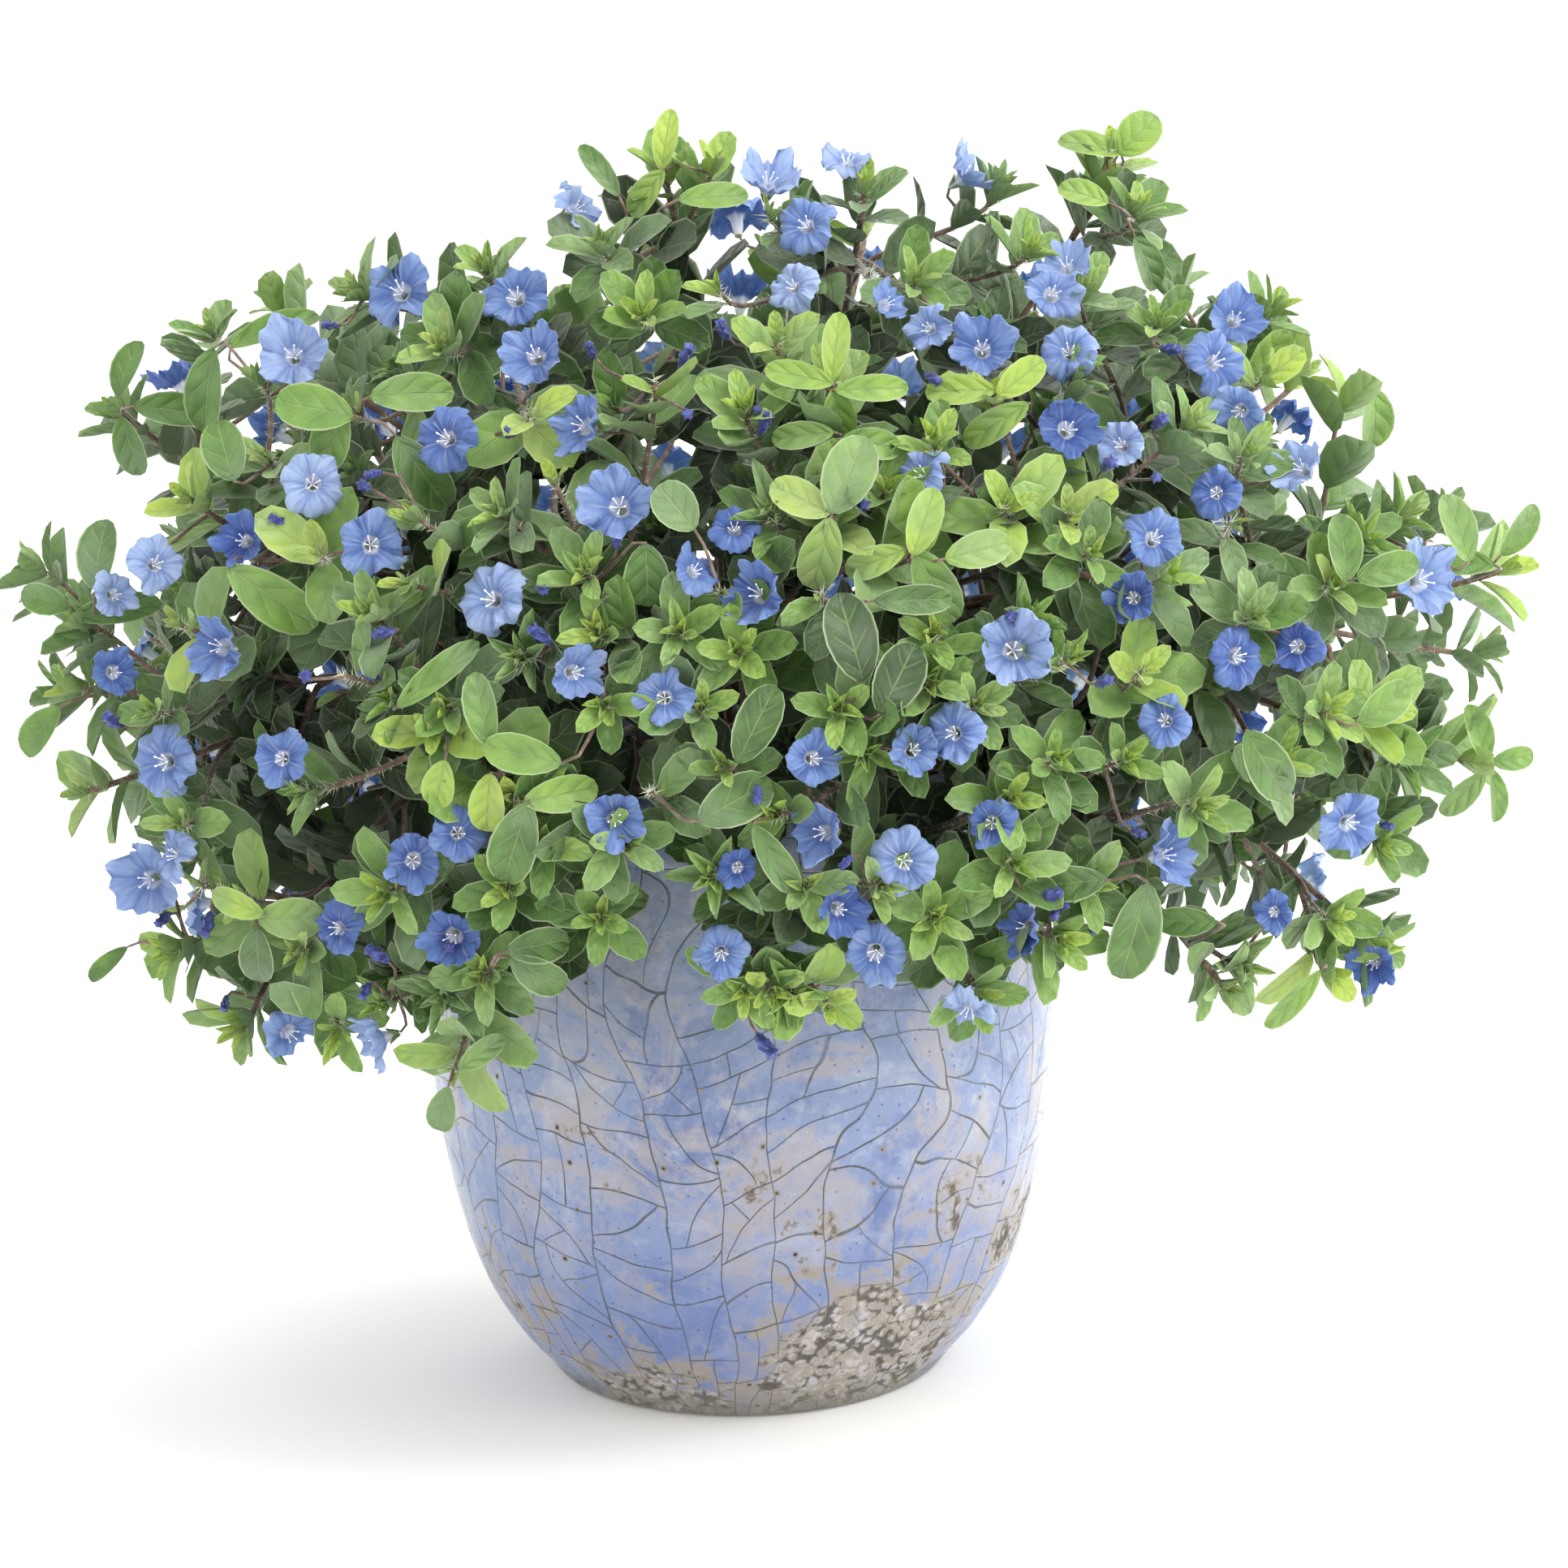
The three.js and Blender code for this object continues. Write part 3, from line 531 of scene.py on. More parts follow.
@dataclass(frozen=True)
class CrackleGlaze:
    """Glazed stoneware with a crazed glaze: glossy grey periwinkle with dark cracks, pale and rosy clouds,
    brown pits, rough bare patches near the foot and a dull foot where the glaze ran thin."""

    blue: str = "#8695BA"
    pale: str = "#B1B5C4"
    deep: str = "#6778A6"
    rosy: str = "#A9A3A7"
    # The grey and the shade below are painted shade, mottled over the top of the pot under the leaves.
    grey: str = "#707C90"
    shade: str = "#505B70"
    crack: str = "#454C49"
    speck: str = "#35487F"
    stain: str = "#91846C"
    pit: str = "#352B1E"
    crevice: str = "#463F30"
    bare: str = "#958F82"
    bare_light: str = "#BDB6B4"
    foot: str = "#77776E"
    crack_cell: float = 21
    crack_width: float = 0.42
    strips: int = 28

    def cracks(self, node: NodeMaker, bent: Socket, place: Socket) -> Socket:
        """Warped upright cracks with level, slanted and short ones between them that end where they meet.

        Args:
            node: adds a node to the material.
            bent: slightly warped places.
            place: places on the pot.

        Returns:
            How much of a crack is at each place.
        """
        plane = node("SeparateXYZ", {0: bent})
        turn = node("ARCTAN2", plane[1], plane[0])[0]
        sway = node("TexNoise", {"Vector": place, "Scale": 1 / (74 * MM), "Detail": 0.6})
        drift = node("SeparateXYZ", {0: sway["Color"]})
        strip = node("MULTIPLY_ADD", turn, self.strips / (2 * math.pi), self.strips / 2)[0]
        strip = node("MULTIPLY_ADD", drift[0], 2.6, strip)[0]
        strip = node("FLOORED_MODULO", strip, float(self.strips))[0]
        row = node("FLOOR", strip)[0]
        chance = node("TexWhiteNoise", {"W": row}, noise_dimensions="1D")[0]
        rise = node("DIVIDE", plane[2], self.crack_cell * MM)[0]
        rise = node("MULTIPLY_ADD", chance, 7.0, rise)[0]
        rise = node("MULTIPLY_ADD", drift[1], 2.6, rise)[0]
        place_in = node("CombineXYZ", {0: row, 1: node("FLOOR", rise)[0]})[0]
        own = node("SeparateXYZ", {0: node("TexWhiteNoise", {"Vector": place_in})[1]})
        side = node("SUBTRACT", node("FRACT", strip)[0], 0.5)[0]
        level = node("SUBTRACT", node("FRACT", rise)[0], 0.5)[0]
        lean = node("MULTIPLY", own[0], 2 * math.pi)[0]
        slant = node("MULTIPLY", side, node("COSINE", lean)[0])[0]
        slant = node("MULTIPLY_ADD", level, node("SINE", lean)[0], slant)[0]
        bow = node("MULTIPLY_ADD", node("MULTIPLY", side, level)[0], 0.9, slant)[0]
        thin = self.crack_width / self.crack_cell / 2
        distances = (node("SUBTRACT", 0.5, node("ABSOLUTE", side)[0])[0],
                     node("SUBTRACT", 0.5, node("ABSOLUTE", level)[0])[0],
                     node("ABSOLUTE", bow)[0])
        upright, across, slanted = [node("range", distance, thin * 0.5, thin * 1.8, 1, 0)[0]
                                    for distance in distances]
        found = node("MAXIMUM", node("MAXIMUM", upright, across)[0], slanted)[0]
        level = node("MULTIPLY", level, node("COSINE", lean)[0])[0]
        cross = node("SUBTRACT", node("MULTIPLY", side, node("SINE", lean)[0])[0], level)[0]
        half = node("GREATER_THAN", bow, 0.0)[0]
        short = node("range", node("ABSOLUTE", cross)[0], thin * 0.4, thin * 1.6, 0.85, 0)[0]
        short = node("MULTIPLY", short, half)[0]
        some = node("GREATER_THAN", own[1], 0.45)[0]
        return node("MAXIMUM", found, node("MULTIPLY", short, some)[0])[0]

    def clouds(self, node: NodeMaker, place: Socket, height: Socket, mottle: Socket) -> Socket:
        """The glaze's colour with its clouds, specks and painted shade, near the top and partly near the
        foot.

        Args:
            node: adds a node to the material.
            place: places on the pot.
            height: height over the ground.
            mottle: a fine noise.

        Returns:
            The colour.
        """
        cloud = node("TexNoise", {"Vector": place, "Scale": 1 / (46 * MM), "Detail": 7.0,
                                            "Roughness": 0.66, "Distortion": 0.4})
        colour = node("ValToRGB", {0: cloud[0]}, stops=[
            (0.38, self.deep), (0.48, self.blue), (0.55, self.blue), (0.64, self.pale)])[0]
        blush = node("TexNoise", {"Vector": place, "Scale": 1 / (27 * MM), "Detail": 8.0,
                                            "Roughness": 0.7, "Distortion": 0.8})
        colour = node("blend", node("range", blush[0], 0.46, 0.6, 0, 0.85)[0], colour, linear(self.rosy))[2]
        colour = node("blend", node("range", mottle, 0.5, 0.68, 0, 0.65)[0], colour, linear(self.pale))[2]
        # Deeper blue towards the foot: partly the glaze's own colour, partly painted shade where the pot
        # meets the floor.
        low = node("range", height, 105 * MM, 30 * MM, 0, 0.65)[0]
        colour = node("blend", low, colour, linear(self.deep))[2]
        # Painted shade: mottled grey and dark blue towards the top of the pot, under the overhanging leaves.
        high = node("range", height, 100 * MM, 175 * MM, 0, 0.9)[0]
        patchy = node("range", mottle, 0.3, 0.58, 0.3, 1)[0]
        colour = node("blend", node("MULTIPLY", high, patchy)[0], colour, linear(self.grey))[2]
        dark = node("MULTIPLY", high, node("range", blush[0], 0.5, 0.36, 0, 0.8)[0])[0]
        colour = node("blend", dark, colour, linear(self.shade))[2]
        grain = node("TexVoronoi", {"Vector": place, "Scale": 1 / (2.9 * MM)})
        dot = node("range", grain["Distance"], 0.06, 0.22, 0.75, 0)[0]
        rare = node("range", grain["Color"], 0.42, 0.62)[0]
        return node("blend", node("MULTIPLY", dot, rare)[0], colour, linear(self.speck))[2]

    def material(self) -> bpy.types.Material:
        """Build the glaze.

        Returns:
            The material.
        """
        material, node = new_material("crazed_glaze_on_stoneware")
        place = node("TexCoord")["Object"]
        height = node("SeparateXYZ", {0: place})[2]
        crater = node("Attribute", attribute_name="crater")["Fac"]
        wobble = node("TexNoise", {"Vector": place, "Scale": 1 / (30 * MM), "Detail": 2.0})
        offset = node("VectorMath", {0: wobble["Color"], 1: (-0.5, -0.5, -0.5)})
        bend = node("VectorMath", {0: offset[0], "Scale": 9 * MM}, operation="SCALE")
        bent = node("VectorMath", {0: place, 1: bend[0]})[0]
        mottle = node("TexNoise", {"Vector": place, "Scale": 1 / (8 * MM), "Detail": 8.0,
                                             "Roughness": 0.72})[0]
        cracks = self.cracks(node, bent, place)
        colour = self.clouds(node, place, height, mottle)

        blotch = node("TexNoise", {"Vector": bent, "Scale": 1 / (15 * MM), "Detail": 8.0,
                                             "Roughness": 0.72})[0]
        near = node("MULTIPLY_ADD", crater, 0.3, blotch)[0]
        warm = node("range", node("MULTIPLY_ADD", crater, 0.34, blotch)[0], 0.56, 0.74, 0, 0.85)[0]
        colour = node("blend", warm, colour, linear(self.rosy))[2]
        low = node("range", height, 15 * MM, 110 * MM, 0.58, 0.7)[0]
        stained = node("range", node("SUBTRACT", near, low)[0], -0.03, 0.1, 0, 0.65)[0]
        colour = node("blend", stained, colour, linear(self.stain))[2]
        by_crack = node("MULTIPLY", cracks, node("range", blotch, 0.38, 0.58, 0.55, 0.95)[0])[0]
        colour = node("blend", by_crack, colour, linear(self.crack))[2]

        holes = node("TexVoronoi", {"Vector": bent, "Scale": 1 / (8 * MM)})
        likely = node("MULTIPLY_ADD", crater, 0.55, holes["Color"])[0]
        chosen = node("range", likely, 0.6, 0.64)[0]
        rim = node("MULTIPLY", node("range", holes[0], 0.08, 0.2, 0.85, 0)[0], chosen)[0]
        hole = node("MULTIPLY", node("range", holes[0], 0.04, 0.11, 1, 0)[0], chosen)[0]
        colour = node("blend", rim, colour, linear(self.stain))[2]
        colour = node("blend", hole, colour, linear(self.pit))[2]

        pebble = node("TexVoronoi", {"Vector": bent, "Scale": 1 / (3.2 * MM)})[0]
        patchy = node("MULTIPLY_ADD", node("SUBTRACT", mottle, 0.5)[0], 2.2, pebble)[0]
        patchy = node("MULTIPLY_ADD", node("SUBTRACT", blotch, 0.5)[0], 1.6, patchy)[0]
        gap = node("range", patchy, 0.5, 0.85, 0, 0.88)[0]
        clay = node("ValToRGB", {0: mottle}, stops=[
            (0.36, self.bare_light), (0.46, self.bare), (0.55, self.bare_light), (0.66, self.pale)])[0]
        clay = node("blend", gap, clay, linear(self.crevice))[2]
        ragged = node("MULTIPLY_ADD", blotch, 1.6, crater)[0]
        ragged = node("MULTIPLY_ADD", mottle, 0.7, ragged)[0]
        bare = node("range", ragged, 1.66, 1.9)[0]
        colour = node("blend", bare, colour, clay)[2]
        foot_line = node("MULTIPLY_ADD", blotch, 26 * MM, height)[0]
        foot = node("range", foot_line, 14 * MM, 25 * MM, 0.7, 0)[0]
        sole = node("blend", node("range", mottle, 0.4, 0.6)[0], linear(self.foot), linear(self.bare))[2]
        colour = node("blend", foot, colour, sole)[2]

        dull = node("MAXIMUM", bare, foot)[0]
        worn = node("MAXIMUM", dull, node("MULTIPLY", stained, 0.4)[0])[0]
        roughness = node("range", worn, 0, 1, 0.2, 0.75)[0]
        hammer = node("TexNoise", {"Vector": place, "Scale": 1 / (9 * MM), "Detail": 4.0})
        relief = node("MULTIPLY", hammer[0], 1.3)[0]
        relief = node("MULTIPLY_ADD", cracks, -0.4, relief)[0]
        relief = node("SUBTRACT", relief, hole)[0]
        relief = node("SUBTRACT", relief, node("MULTIPLY", gap, bare)[0])[0]
        bump = node("Bump", {"Height": relief, "Strength": 0.6, "Distance": 1 * MM})
        shader = node("BsdfPrincipled", {
            "Base Color": colour, "Roughness": roughness, "Normal": bump[0],
            "IOR": 1.42, "Coat Weight": 0.08, "Coat Roughness": 0.05})
        node("OutputMaterial", {0: shader[0]})
        return material


@dataclass(frozen=True)
class LeafSurface:
    """A thin, softly hairy living leaf: satin, paler below, with a pale midrib, faint side veins and a
    pale edge. Light from behind shows through it in yellow green."""

    name: str
    tones: tuple[tuple[float, str], ...]
    lit: tuple[tuple[float, str], ...]
    rib: str = "#A8BA82"
    edge: str = "#C9D6AC"
    under: str = "#8CA07C"
    painted_sheen_silver: str = "#9DAE92"
    see_through: float = 0.3
    sheen: float = 0.3

    def material(self) -> bpy.types.Material:
        """Build the leaf surface.

        Returns:
            The material.
        """
        material, node = new_material(self.name)
        plane = node("SeparateXYZ", {0: node("UVMap")[0]})
        across = node("ABSOLUTE", node("MULTIPLY_ADD", plane[0], 2.0, -1.0)[0])[0]
        along = plane[1]
        tone = node("Attribute", attribute_name="tone")["Fac"]
        underside = node("Attribute", attribute_name="underside")["Fac"]
        place = node("TexCoord")["Object"]
        cloud = node("TexNoise", {"Vector": place, "Scale": 1 / (7 * MM), "Detail": 3.0})
        varied = node("ADD", tone, node("MULTIPLY_ADD", cloud[0], 0.44, -0.22)[0])[0]
        colour = node("ValToRGB", {0: varied}, stops=list(self.tones))[0]
        glow = node("ValToRGB", {0: varied}, stops=list(self.lit))[0]

        slant = node("MULTIPLY_ADD", across, -0.22, along)[0]
        wave = node("PINGPONG", node("MULTIPLY", slant, 5.0)[0], 0.5)[0]
        vein = node("range", wave, 0.02, 0.12, 0.45, 0)[0]
        vein = node("MULTIPLY", vein, node("range", across, 0.5, 0.85, 1, 0)[0])[0]
        quilt = node("MULTIPLY", node("range", wave, 0.0, 0.45)[0], node("range", across, 1, 0.6)[0])[0]
        rib = node("range", across, 0.015, 0.075, 0.8, 0)[0]
        lines = node("MAXIMUM", rib, vein)[0]
        # Painted sheen: broad grey-green patches stand in for the sheen of the silvery hairs, partly their
        # own colour,
        # and the raised strips between the side veins get a painted highlight.
        haze = node("TexNoise", {"Vector": place, "Scale": 1 / (33 * MM), "Detail": 2.0})
        silver_and_painted_sheen = node("range", haze[0], 0.44, 0.66, 0.04, 0.42)[0]
        silver_and_painted_sheen = node("MULTIPLY_ADD", quilt, 0.08, silver_and_painted_sheen)[0]
        colour = node("blend", silver_and_painted_sheen, colour, linear(self.painted_sheen_silver))[2]
        colour = node("blend", node("MULTIPLY", lines, 0.6)[0], colour, linear(self.rib))[2]
        margin = node("range", across, 0.88, 0.98, 0, 0.72)[0]
        colour = node("blend", margin, colour, linear(self.edge))[2]
        colour = node("blend", node("MULTIPLY", underside, 0.6)[0], colour, linear(self.under))[2]

        fuzz = node("TexNoise", {"Vector": place, "Scale": 1 / (0.8 * MM), "Detail": 1.0})
        relief = node("MULTIPLY_ADD", lines, -0.8, node("MULTIPLY", fuzz[0], 0.5)[0])[0]
        relief = node("MULTIPLY_ADD", quilt, 0.7, relief)[0]
        bump = node("Bump", {"Height": relief, "Strength": 0.75, "Distance": 0.5 * MM})
        body = node("BsdfPrincipled", {
            "Base Color": colour, "Roughness": 0.42, "Specular IOR Level": 0.5,
            "Sheen Weight": self.sheen, "Sheen Roughness": 0.45, "Normal": bump[0]})
        through = node("BsdfTranslucent", {"Color": glow})
        both = node("MixShader", {0: self.see_through, 1: body[0], 2: through[0]})
        node("OutputMaterial", {0: both[0]})
        return material


@dataclass(frozen=True)
class PetalSurface:
    """A fresh, thin petal: satin periwinkle with a white star, a pale throat and fine rays from its
    folds. It glows paler where light comes through it."""

    tones: tuple[tuple[float, str], ...] = ((0, "#4A65AC"), (0.45, "#7C98CE"), (1, "#BACDEC"))
    lit: tuple[tuple[float, str], ...] = ((0, "#5A78C4"), (0.45, "#94AFE2"), (1, "#CCDAF6"))
    star: str = "#F0F3FA"
    throat: str = "#DDE3C8"
    painted_crease_shade: str = "#4B64B0"

    def material(self) -> bpy.types.Material:
        """Build the petal surface.

        Returns:
            The material.
        """
        material, node = new_material("fresh_blue_petal")
        tone = node("Attribute", attribute_name="tone")["Fac"]
        reach = node("Attribute", attribute_name="reach")["Fac"]
        fold = node("Attribute", attribute_name="fold")["Fac"]
        place = node("TexCoord")["Object"]
        rays = node("CombineXYZ", {0: node("MULTIPLY", fold, 7.0)[0], 1: reach})
        streak = node("TexNoise", {"Vector": rays[0], "Scale": 3.0, "Detail": 4.0})
        cloud = node("TexNoise", {"Vector": place, "Scale": 1 / (6 * MM), "Detail": 2.0})
        varied = node("MULTIPLY_ADD", streak[0], 0.7, node("SUBTRACT", tone, 0.35)[0])[0]
        varied = node("MULTIPLY_ADD", cloud[0], 0.5, node("SUBTRACT", varied, 0.25)[0])[0]
        varied = node("MULTIPLY_ADD", node("SUBTRACT", reach, 0.6)[0], 0.5, varied)[0]
        colour = node("ValToRGB", {0: varied}, stops=list(self.tones))[0]
        glow = node("ValToRGB", {0: varied}, stops=list(self.lit))[0]
        # Painted shade: darker blue along the folds between the petals.
        seam = node("range", fold, 0.84, 1.0, 0, 0.5)[0]
        colour = node("blend", seam, colour, linear(self.painted_crease_shade))[2]
        middle = node("MULTIPLY", node("range", fold, 0.0, 0.12, 0.3, 0)[0],
                        node("range", reach, 0.45, 0.95, 1, 0)[0])[0]
        colour = node("blend", middle, colour, linear(self.star))[2]
        arm = node("MULTIPLY_ADD", fold, -0.12, 0.29)[0]
        star = node("range", node("SUBTRACT", reach, arm)[0], -0.1, 0.04, 0.9, 0)[0]
        colour = node("blend", star, colour, linear(self.star))[2]
        glow = node("blend", star, glow, linear(self.star))[2]
        colour = node("blend", node("range", reach, 0.3, 0.2, 0, 0.85)[0], colour, linear(self.star))[2]
        throat = node("range", reach, 0.08, 0.15, 0.7, 0)[0]
        colour = node("blend", throat, colour, linear(self.throat))[2]
        bump = node("Bump", {"Height": streak[0], "Strength": 0.25, "Distance": 0.4 * MM})
        body = node("BsdfPrincipled", {
            "Base Color": colour, "Roughness": 0.55, "Specular IOR Level": 0.25,
            "Sheen Weight": 0.25, "Sheen Roughness": 0.4, "Normal": bump[0]})
        through = node("BsdfTranslucent", {"Color": glow})
        both = node("MixShader", {0: 0.38, 1: body[0], 2: through[0]})
        node("OutputMaterial", {0: both[0]})
        return material


@dataclass(frozen=True)
class GrainySurface:
    """A matt natural surface whose colour runs between stops by a noise of a given grain in mm, with
    relief from the same grain: bark, stems, soil, anthers and dried petals."""

    name: str
    stops: tuple[tuple[float, str], ...]
    grain: float
    relief: float = 0.4
    roughness: float = 0.75
    sheen: float = 0.0

    def material(self) -> bpy.types.Material:
        """Build the surface.

        Returns:
            The material.
        """
        material, node = new_material(self.name)
        place = node("TexCoord")["Object"]
        noise = node("TexNoise", {"Vector": place, "Scale": 1 / (self.grain * MM), "Detail": 5.0,
                                            "Roughness": 0.65})
        colour = node("ValToRGB", {0: noise[0]}, stops=list(self.stops))[0]
        bump = node("Bump", {"Height": noise[0], "Strength": 0.6,
                                       "Distance": self.relief * MM})
        shader = node("BsdfPrincipled", {
            "Base Color": colour, "Roughness": self.roughness, "Normal": bump[0],
            "Sheen Weight": self.sheen})
        node("OutputMaterial", {0: shader[0]})
        return material


LIVING_LEAF = LeafSurface(
    "living_leaf",
    ((0.0, "#18280F"), (0.28, "#3D5A26"), (0.5, "#66903F"), (0.75, "#95BC58"), (1.0, "#C0D758")),
    ((0.0, "#3E6A1C"), (0.5, "#8CB640"), (1.0, "#D4E86C")),
)
OLD_STEM = GrainySurface("old_hairy_stem", ((0.3, "#4E3B30"), (0.5, "#6F5748"), (0.7, "#978472")), 3, 0.3,
                         sheen=0.4)
YOUNG_STEM = GrainySurface("young_hairy_stem", ((0.3, "#6B5A3C"), (0.5, "#84804F"), (0.7, "#A5A878")), 3, 0.3,
                           sheen=0.4)
STALK = GrainySurface("flower_stalk", ((0.3, "#6F8A4C"), (0.6, "#8FA868")), 3, 0.2, sheen=0.4)
BARK = GrainySurface("woody_bark", ((0.3, "#3B2A1E"), (0.5, "#6B5038"), (0.7, "#8D735A")), 4, 1.2)
SOIL = GrainySurface("peaty_soil", ((0.3, "#140E0A"), (0.5, "#2E2118"), (0.7, "#54402F")), 5, 1.5,
                     roughness=0.95)
ROOTS = GrainySurface("matted_roots", ((0.3, "#4A3826"), (0.6, "#8B7454")), 3, 1.0, roughness=0.9)
ANTHER = GrainySurface("white_stamen", ((0.3, "#E6EAF6"), (0.7, "#FFFFFF")), 1, 0.05, roughness=0.6)
SPENT = GrainySurface("spent_petal", ((0.3, "#191C4C"), (0.5, "#2B3680"), (0.7, "#5A6CB4")), 2.5, 0.3,
                      roughness=0.6, sheen=0.3)
HAIR = GrainySurface("silvery_hair", ((0.3, "#C9D3B4"), (0.7, "#EEF2E2")), 1, 0.02, roughness=0.5)


@dataclass(frozen=True)
class Eye:
    """The eye that the lists of tips, leaves and flowers are read from, in mm and degrees."""

    distance: float = 1700
    elevation: float = 13
    roll: float = 1.6
    sight: tuple[float, float, float] = (15.8, 0.0, 189.0)
    sight_across: float = 12.6
    sight_up: float = 182.5
    view_width: float = 497.3

    @property
    def lift(self) -> np.ndarray:
        """Upwards in the picture, before the roll."""
        turn = math.radians(self.elevation)
        return np.array([0, math.sin(turn), math.cos(turn)])

    @property
    def ahead(self) -> np.ndarray:
        """Into the picture."""
        turn = math.radians(self.elevation)
        return np.array([0, math.cos(turn), -math.sin(turn)])

    @property
    def place(self) -> np.ndarray:
        """Where the eye is."""
        return np.array(self.sight) - self.ahead * self.distance

    def seen(self, across: float, up: float, y: float) -> np.ndarray:
        """The point at a distance back that the eye sees at across, up.

        Args:
            across, up: place in the picture, in mm.
            y: how far back the point is.

        Returns:
            The point.
        """
        roll = math.radians(self.roll)
        a, b = across - self.sight_across, up - self.sight_up
        level = a * math.cos(roll) + b * math.sin(roll)
        upright = b * math.cos(roll) - a * math.sin(roll)
        ray = np.array(self.sight) + np.array([level, 0, 0]) + self.lift * upright - self.place
        return self.place + ray * ((y - self.place[1]) / ray[1])

    def picture(self, points: np.ndarray) -> np.ndarray:
        """Across, up and distance of points, in rows, as the eye sees them.

        Args:
            points: their places.

        Returns:
            One row for each point.
        """
        roll = math.radians(self.roll)
        way = np.atleast_2d(points) - self.place
        depth = way @ self.ahead
        level = way[:, 0] * self.distance / depth
        upright = (way @ self.lift) * self.distance / depth
        across = level * math.cos(roll) - upright * math.sin(roll) + self.sight_across
        up = level * math.sin(roll) + upright * math.cos(roll) + self.sight_up
        return np.stack([across, up, depth], axis=1)

    def camera(self) -> bpy.types.Object:
        """Set up the camera.

        Returns:
            The camera, which is made the scene's own.
        """
        roll = math.radians(self.roll)
        right = np.array([1.0, 0.0, 0.0])
        over = right * math.cos(roll) - self.lift * math.sin(roll)
        top = right * math.sin(roll) + self.lift * math.cos(roll)
        lens = bpy.data.cameras.new("camera")
        lens.sensor_width = 36
        lens.lens = lens.sensor_width * self.distance / self.view_width
        camera = bpy.data.objects.new("camera", lens)
        camera.matrix_world = place_matrix(self.place, over, top, -self.ahead, (1, 1, 1))
        bpy.context.scene.collection.objects.link(camera)
        bpy.context.scene.camera = camera
        return camera


@dataclass(frozen=True)
class Foliage:
    """The rounded mound that the leaves fill, in mm."""

    eye: Eye
    middle: float = 13
    flatness: float = 0.84
    heart: tuple[float, float, float] = (13.0, 0.0, 215.0)
    tries: int = 24

    def on_front(self, across: float, up: float) -> np.ndarray:
        """The point on the mound's front that the eye sees at across, up.

        Args:
            across, up: place in the picture, in mm.

        Returns:
            The point.
        """
        y = -50.0
        for _ in range(self.tries):
            point = self.eye.seen(across, up, y)
            reach = between(FOLIAGE_OUTLINE, point[2])
            side = point[0] - self.middle
            y = (y - self.flatness * math.sqrt(max(0.0, reach * reach - side * side))) / 2
        return self.eye.seen(across, up, y)

    def round_about(self, degrees: float, height: float, share: float = 1.0) -> np.ndarray:
        """The point at degrees round from the right and a height, at a share of the mound's reach.

        Args:
            degrees: how far round.
            height: over the ground.
            share: of the reach.

        Returns:
            The point.
        """
        reach = between(FOLIAGE_OUTLINE, height) * share
        turn = math.radians(degrees)
        across, back = reach * math.cos(turn), self.flatness * reach * math.sin(turn)
        return np.array([self.middle + across, back, height])

    def room(self, point: np.ndarray) -> float:
        """How far a point lies inside the edge of the close leaves as the eye sees it, negative outside.

        Args:
            point: its place.

        Returns:
            The gap to the edge, in mm.
        """
        spot = self.eye.picture(point)[0, :2]
        ring = np.array(MASS_OUTLINE, float)
        after = np.roll(ring, -1, axis=0)
        edge = after - ring
        share = np.clip(((spot - ring) * edge).sum(1) / (edge ** 2).sum(1), 0, 1)
        gap = float(np.linalg.norm(ring + edge * share[:, None] - spot, axis=1).min())
        rising = (ring[:, 1] > spot[1]) != (after[:, 1] > spot[1])
        height = np.where(edge[:, 1] == 0, 1, edge[:, 1])
        crossed = spot[0] < ring[:, 0] + (spot[1] - ring[:, 1]) / height * edge[:, 0]
        return gap if (rising & crossed).sum() % 2 else -gap

    def outward(self, point: np.ndarray) -> np.ndarray:
        """The mound's outward direction at a point."""
        way = (point - np.array(self.heart)) * np.array([1.0, 1.25, 0.9])
        return unit(way)

    def depth(self, point: np.ndarray) -> float:
        """How far inside the mound a point lies, from 0 at its skin to 1 at its axis."""
        reach = between(FOLIAGE_OUTLINE, float(point[2]))
        out = math.hypot(point[0] - self.middle, point[1] / self.flatness)
        return float(np.clip(1 - out / max(reach, 1.0), 0, 1))


class StemCurve:
    """A smooth curve in mm whose points are asked for by share of its length."""

    def __init__(self, *ends: np.ndarray) -> None:
        """Sample the cubic curve with the given four control points.

        Args:
            ends: the four control points.
        """
        t = np.linspace(0, 1, STEM_POINTS)[:, None]
        weights = ((1 - t) ** 3, 3 * (1 - t) ** 2 * t, 3 * (1 - t) * t ** 2, t ** 3)
        self.points = sum(weight * end for weight, end in zip(weights, ends))
        steps = np.linalg.norm(np.diff(self.points, axis=0), axis=1)
        self.run = np.concatenate([[0], np.cumsum(steps)])

    @property
    def length(self) -> float:
        """The curve's length."""
        return float(self.run[-1])

    def at(self, share: float) -> np.ndarray:
        """The point at a share of the length."""
        where = share * self.run[-1]
        return np.array([np.interp(where, self.run, self.points[:, i]) for i in range(3)])

    def way(self, share: float) -> np.ndarray:
        """The direction at a share of the length."""
        return unit(self.at(min(share + 0.01, 1)) - self.at(max(share - 0.01, 0)))

    def spaced(self, steps: int) -> np.ndarray:
        """Points at even steps along the curve."""
        return np.array([self.at(i / steps) for i in range(steps + 1)])


class Tip(Enum):
    """How a shoot ends."""

    STAR = "star"
    LEAFY = "leafy"
    WOOLLY = "woolly"


@dataclass(frozen=True)
class ShootForm:
    """How the leaves of a shoot change from its tip down, each by the leaf's number from the tip."""

    distance: tuple[tuple[float, float], ...]
    length: tuple[tuple[float, float], ...]
    spread: tuple[tuple[float, float], ...]
    ratio: tuple[tuple[float, float], ...]
    tone: tuple[tuple[float, float], ...]


